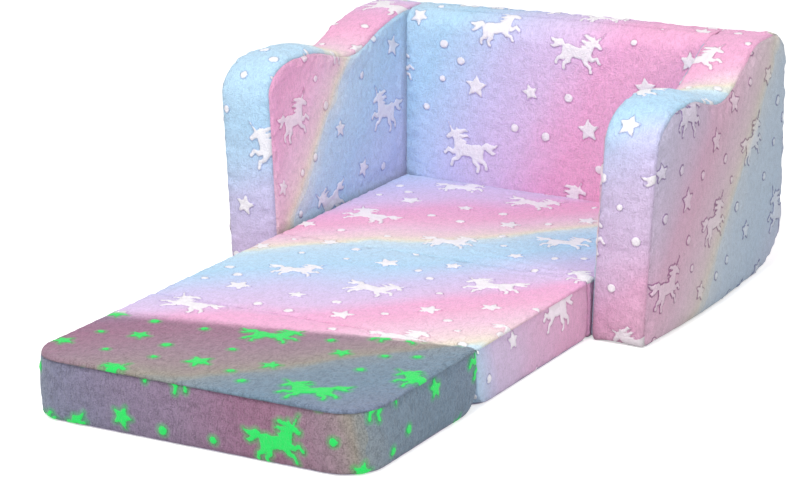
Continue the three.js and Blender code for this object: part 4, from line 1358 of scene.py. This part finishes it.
def zip_chain(name, node, along_axis, out_axis, out_sign):
    """Two woven tapes with a row of interlocked teeth between them."""
    length, width = length_and_width(node, along_axis, out_axis)
    tapes, teeth = [], []
    for half in (-1, 1):
        v = np.linspace(0.2 * MM, width / 2, 5)
        U, V = np.meshgrid(np.linspace(-length / 2, length / 2, 120), v if half > 0 else -v[::-1])
        W = -0.35 * MM + 0.5 * MM * (1 - np.abs(V) / (width / 2))
        W = W + 0.12 * MM * np.sin(U / (9 * MM)) * np.abs(V) / (width / 2)
        tape = woven_sheet("tape", np.stack([U, V, W], -1)[::-1], 0.45 * MM)
        tape.data.materials.append(TAPE)
        tapes.append(tape)
    for half in (-1, 1):
        start = -length / 2 + (1.0 if half > 0 else 2.8) * MM
        size, place = (1.3 * MM, 2.4 * MM, 1.0 * MM), (start, half * 0.6 * MM, 0.45 * MM)
        tooth = box_piece("tooth", size, place, 0.3 * MM, 1)
        modify(tooth, "ARRAY", use_relative_offset=False, use_constant_offset=True,
               constant_offset_displace=(TOOTH_PITCH, 0, 0), count=int((length - 4 * MM) / TOOTH_PITCH))
        tooth.data.materials.append(NYLON)
        teeth.append(tooth)
    return lay(join(name, tapes + teeth), node, along_axis, out_axis, out_sign)


def zip_slider(name, node, along_axis, out_axis, out_sign):
    """A slider: a body that tapers to its nose, two side wings and the bridge that holds the pull."""
    length, width = length_and_width(node, along_axis, out_axis)
    body = box_piece("body", (length, width, 1.1 * MM), bevel=0.3 * MM)
    places = places_of(body)
    places[:, 1] *= 1 - 0.32 * np.clip(places[:, 0] / (length / 2), 0, 1) ** 2
    move_to(body, places)
    wing, wing_at = (length * 0.6, 0.8 * MM, 1.7 * MM), width / 2 - 0.5 * MM
    post, post_at = (1.0 * MM, 1.6 * MM, 1.3 * MM), length * 0.26
    pieces = [body]
    pieces += [box_piece("wing", wing, (-length * 0.12, side * wing_at, -0.3 * MM)) for side in (-1, 1)]
    pieces += [box_piece("post", post, (side * post_at, 0, 0.9 * MM)) for side in (-1, 1)]
    pieces += [box_piece("bridge", (length * 0.62, 1.6 * MM, 0.6 * MM), (0, 0, 1.55 * MM))]
    return lay(join(name, pieces), node, along_axis, out_axis, out_sign)


def zip_pull(name, node, out_axis, out_sign):
    """A flat tab that narrows at its waist and its ends, with two windows."""
    along_axis = int(np.argmax(np.subtract(*np.array(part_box(node))[::-1])))
    length, width = length_and_width(node, along_axis, out_axis)
    deselect()
    bpy.ops.mesh.primitive_grid_add(x_subdivisions=11, y_subdivisions=5, size=1)
    piece = bpy.context.active_object
    x, y, z = places_of(piece).T
    waist = 1 - 0.22 * np.exp(-(((x - 0.12) / 0.2) ** 2)) - 0.25 * np.clip(np.abs(x) * 2 - 0.7, 0, 1)
    move_to(piece, np.stack([x * length, y * width * waist, z], 1))
    bpy.ops.object.mode_set(mode="EDIT")
    bpy.ops.mesh.select_mode(type="FACE")
    bpy.ops.object.mode_set(mode="OBJECT")
    for polygon in piece.data.polygons:
        x, y = polygon.center.x / length, polygon.center.y / width
        polygon.select = bool(abs(y) < 0.22 and (0.27 < x < 0.42 or -0.36 < x < -0.02))
    bpy.ops.object.mode_set(mode="EDIT")
    bpy.ops.mesh.delete(type="FACE")
    bpy.ops.object.mode_set(mode="OBJECT")
    modify(piece, "SOLIDIFY", thickness=1.0 * MM, offset=0)
    modify(piece, "BEVEL", width=0.2 * MM, segments=2)
    modify(piece, "SUBSURF", levels=1)
    bpy.ops.object.shade_smooth()
    piece.name = piece.data.name = name
    return lay(piece, node, along_axis, out_axis, out_sign)


for label, chain_body, slider_body, pull_body, along_axis, out_axis, out_sign in (
    ("frame_zip", "frame", "frame_slider", "frame_pull", 0, 1, 1),
    ("seat_panel_zip", "frame", "seat_slider", "seat_slider", 0, 1, 1),
    ("second_panel_zip", "second_panel", "second_slider", "second_slider", 1, 0, -1),
    ("third_panel_zip", "third_panel", "third_slider", "third_slider", 1, 0, -1),
):
    chain = zip_chain(label + "_chain", label, along_axis, out_axis, out_sign)
    finish(chain, chain_body, label, None)
    slider = zip_slider(label + "_runner", label + "_slider", along_axis, out_axis, out_sign)
    pull = zip_pull(label + "_tab", label + "_pull", out_axis, out_sign)
    finish(slider, slider_body, label + "_slider", METAL)
    finish(pull, pull_body, label + "_pull", METAL)


# Camera, floor and light
def set_camera():
    data = bpy.data.cameras.new("camera")
    data.lens = CAMERA_LENS
    data.clip_end = 50
    camera = bpy.data.objects.new("camera", data)
    bpy.context.scene.collection.objects.link(camera)
    camera.location = CAMERA_PLACE
    camera.rotation_euler = (math.radians(90 - CAMERA_DOWN), 0, math.radians(CAMERA_ROUND))
    bpy.context.scene.camera = camera


def add_floor():
    """A white floor that is lifted to the white of the background for the eye, but still takes shadows."""
    deselect()
    bpy.ops.mesh.primitive_plane_add(size=40, location=(0, 0, -LOWEST))
    floor = bpy.context.active_object
    floor.name = "floor"
    g = Graph(bpy.data.materials.new("floor"))
    g.surface({
        "Base Color": (0.8, 0.8, 0.8, 1), "Roughness": 1.0, "Specular IOR Level": 0.0,
        "Emission Color": WHITE, "Emission Strength": g.times(g.seen_by_eye(), FLOOR_LIFT),
    })
    floor.data.materials.append(g.owner)


def add_lamp(name, place, size, power, color):
    data = bpy.data.lights.new(name, "AREA")
    data.shape = "DISK"
    data.size = size
    data.energy = power
    data.color = color
    lamp = bpy.data.objects.new(name, data)
    bpy.context.scene.collection.objects.link(lamp)
    lamp.location = place
    lamp.rotation_euler = (LAMP_AIM - Vector(place)).to_track_quat("-Z", "Y").to_euler()


def set_world():
    """White light all round, and a pure white background for the eye."""
    bpy.context.scene.world = bpy.data.worlds.new("studio")
    g = Graph(bpy.context.scene.world, "Background")
    g.surface({"Color": WHITE, "Strength": WORLD_STRENGTH})
    shown = g.node("ShaderNodeBackground", {"Color": WHITE})
    inputs = {"Fac": g.seen_by_eye(), 1: g.shader.outputs[0], 2: shown.outputs[0]}
    mix = g.node("ShaderNodeMixShader", inputs)
    g.put(g.tree.nodes["World Output"].inputs["Surface"], mix.outputs[0])


set_camera()
add_floor()
for lamp in LAMPS:
    add_lamp(*lamp)
set_world()
bpy.context.scene.view_settings.view_transform = "Standard"
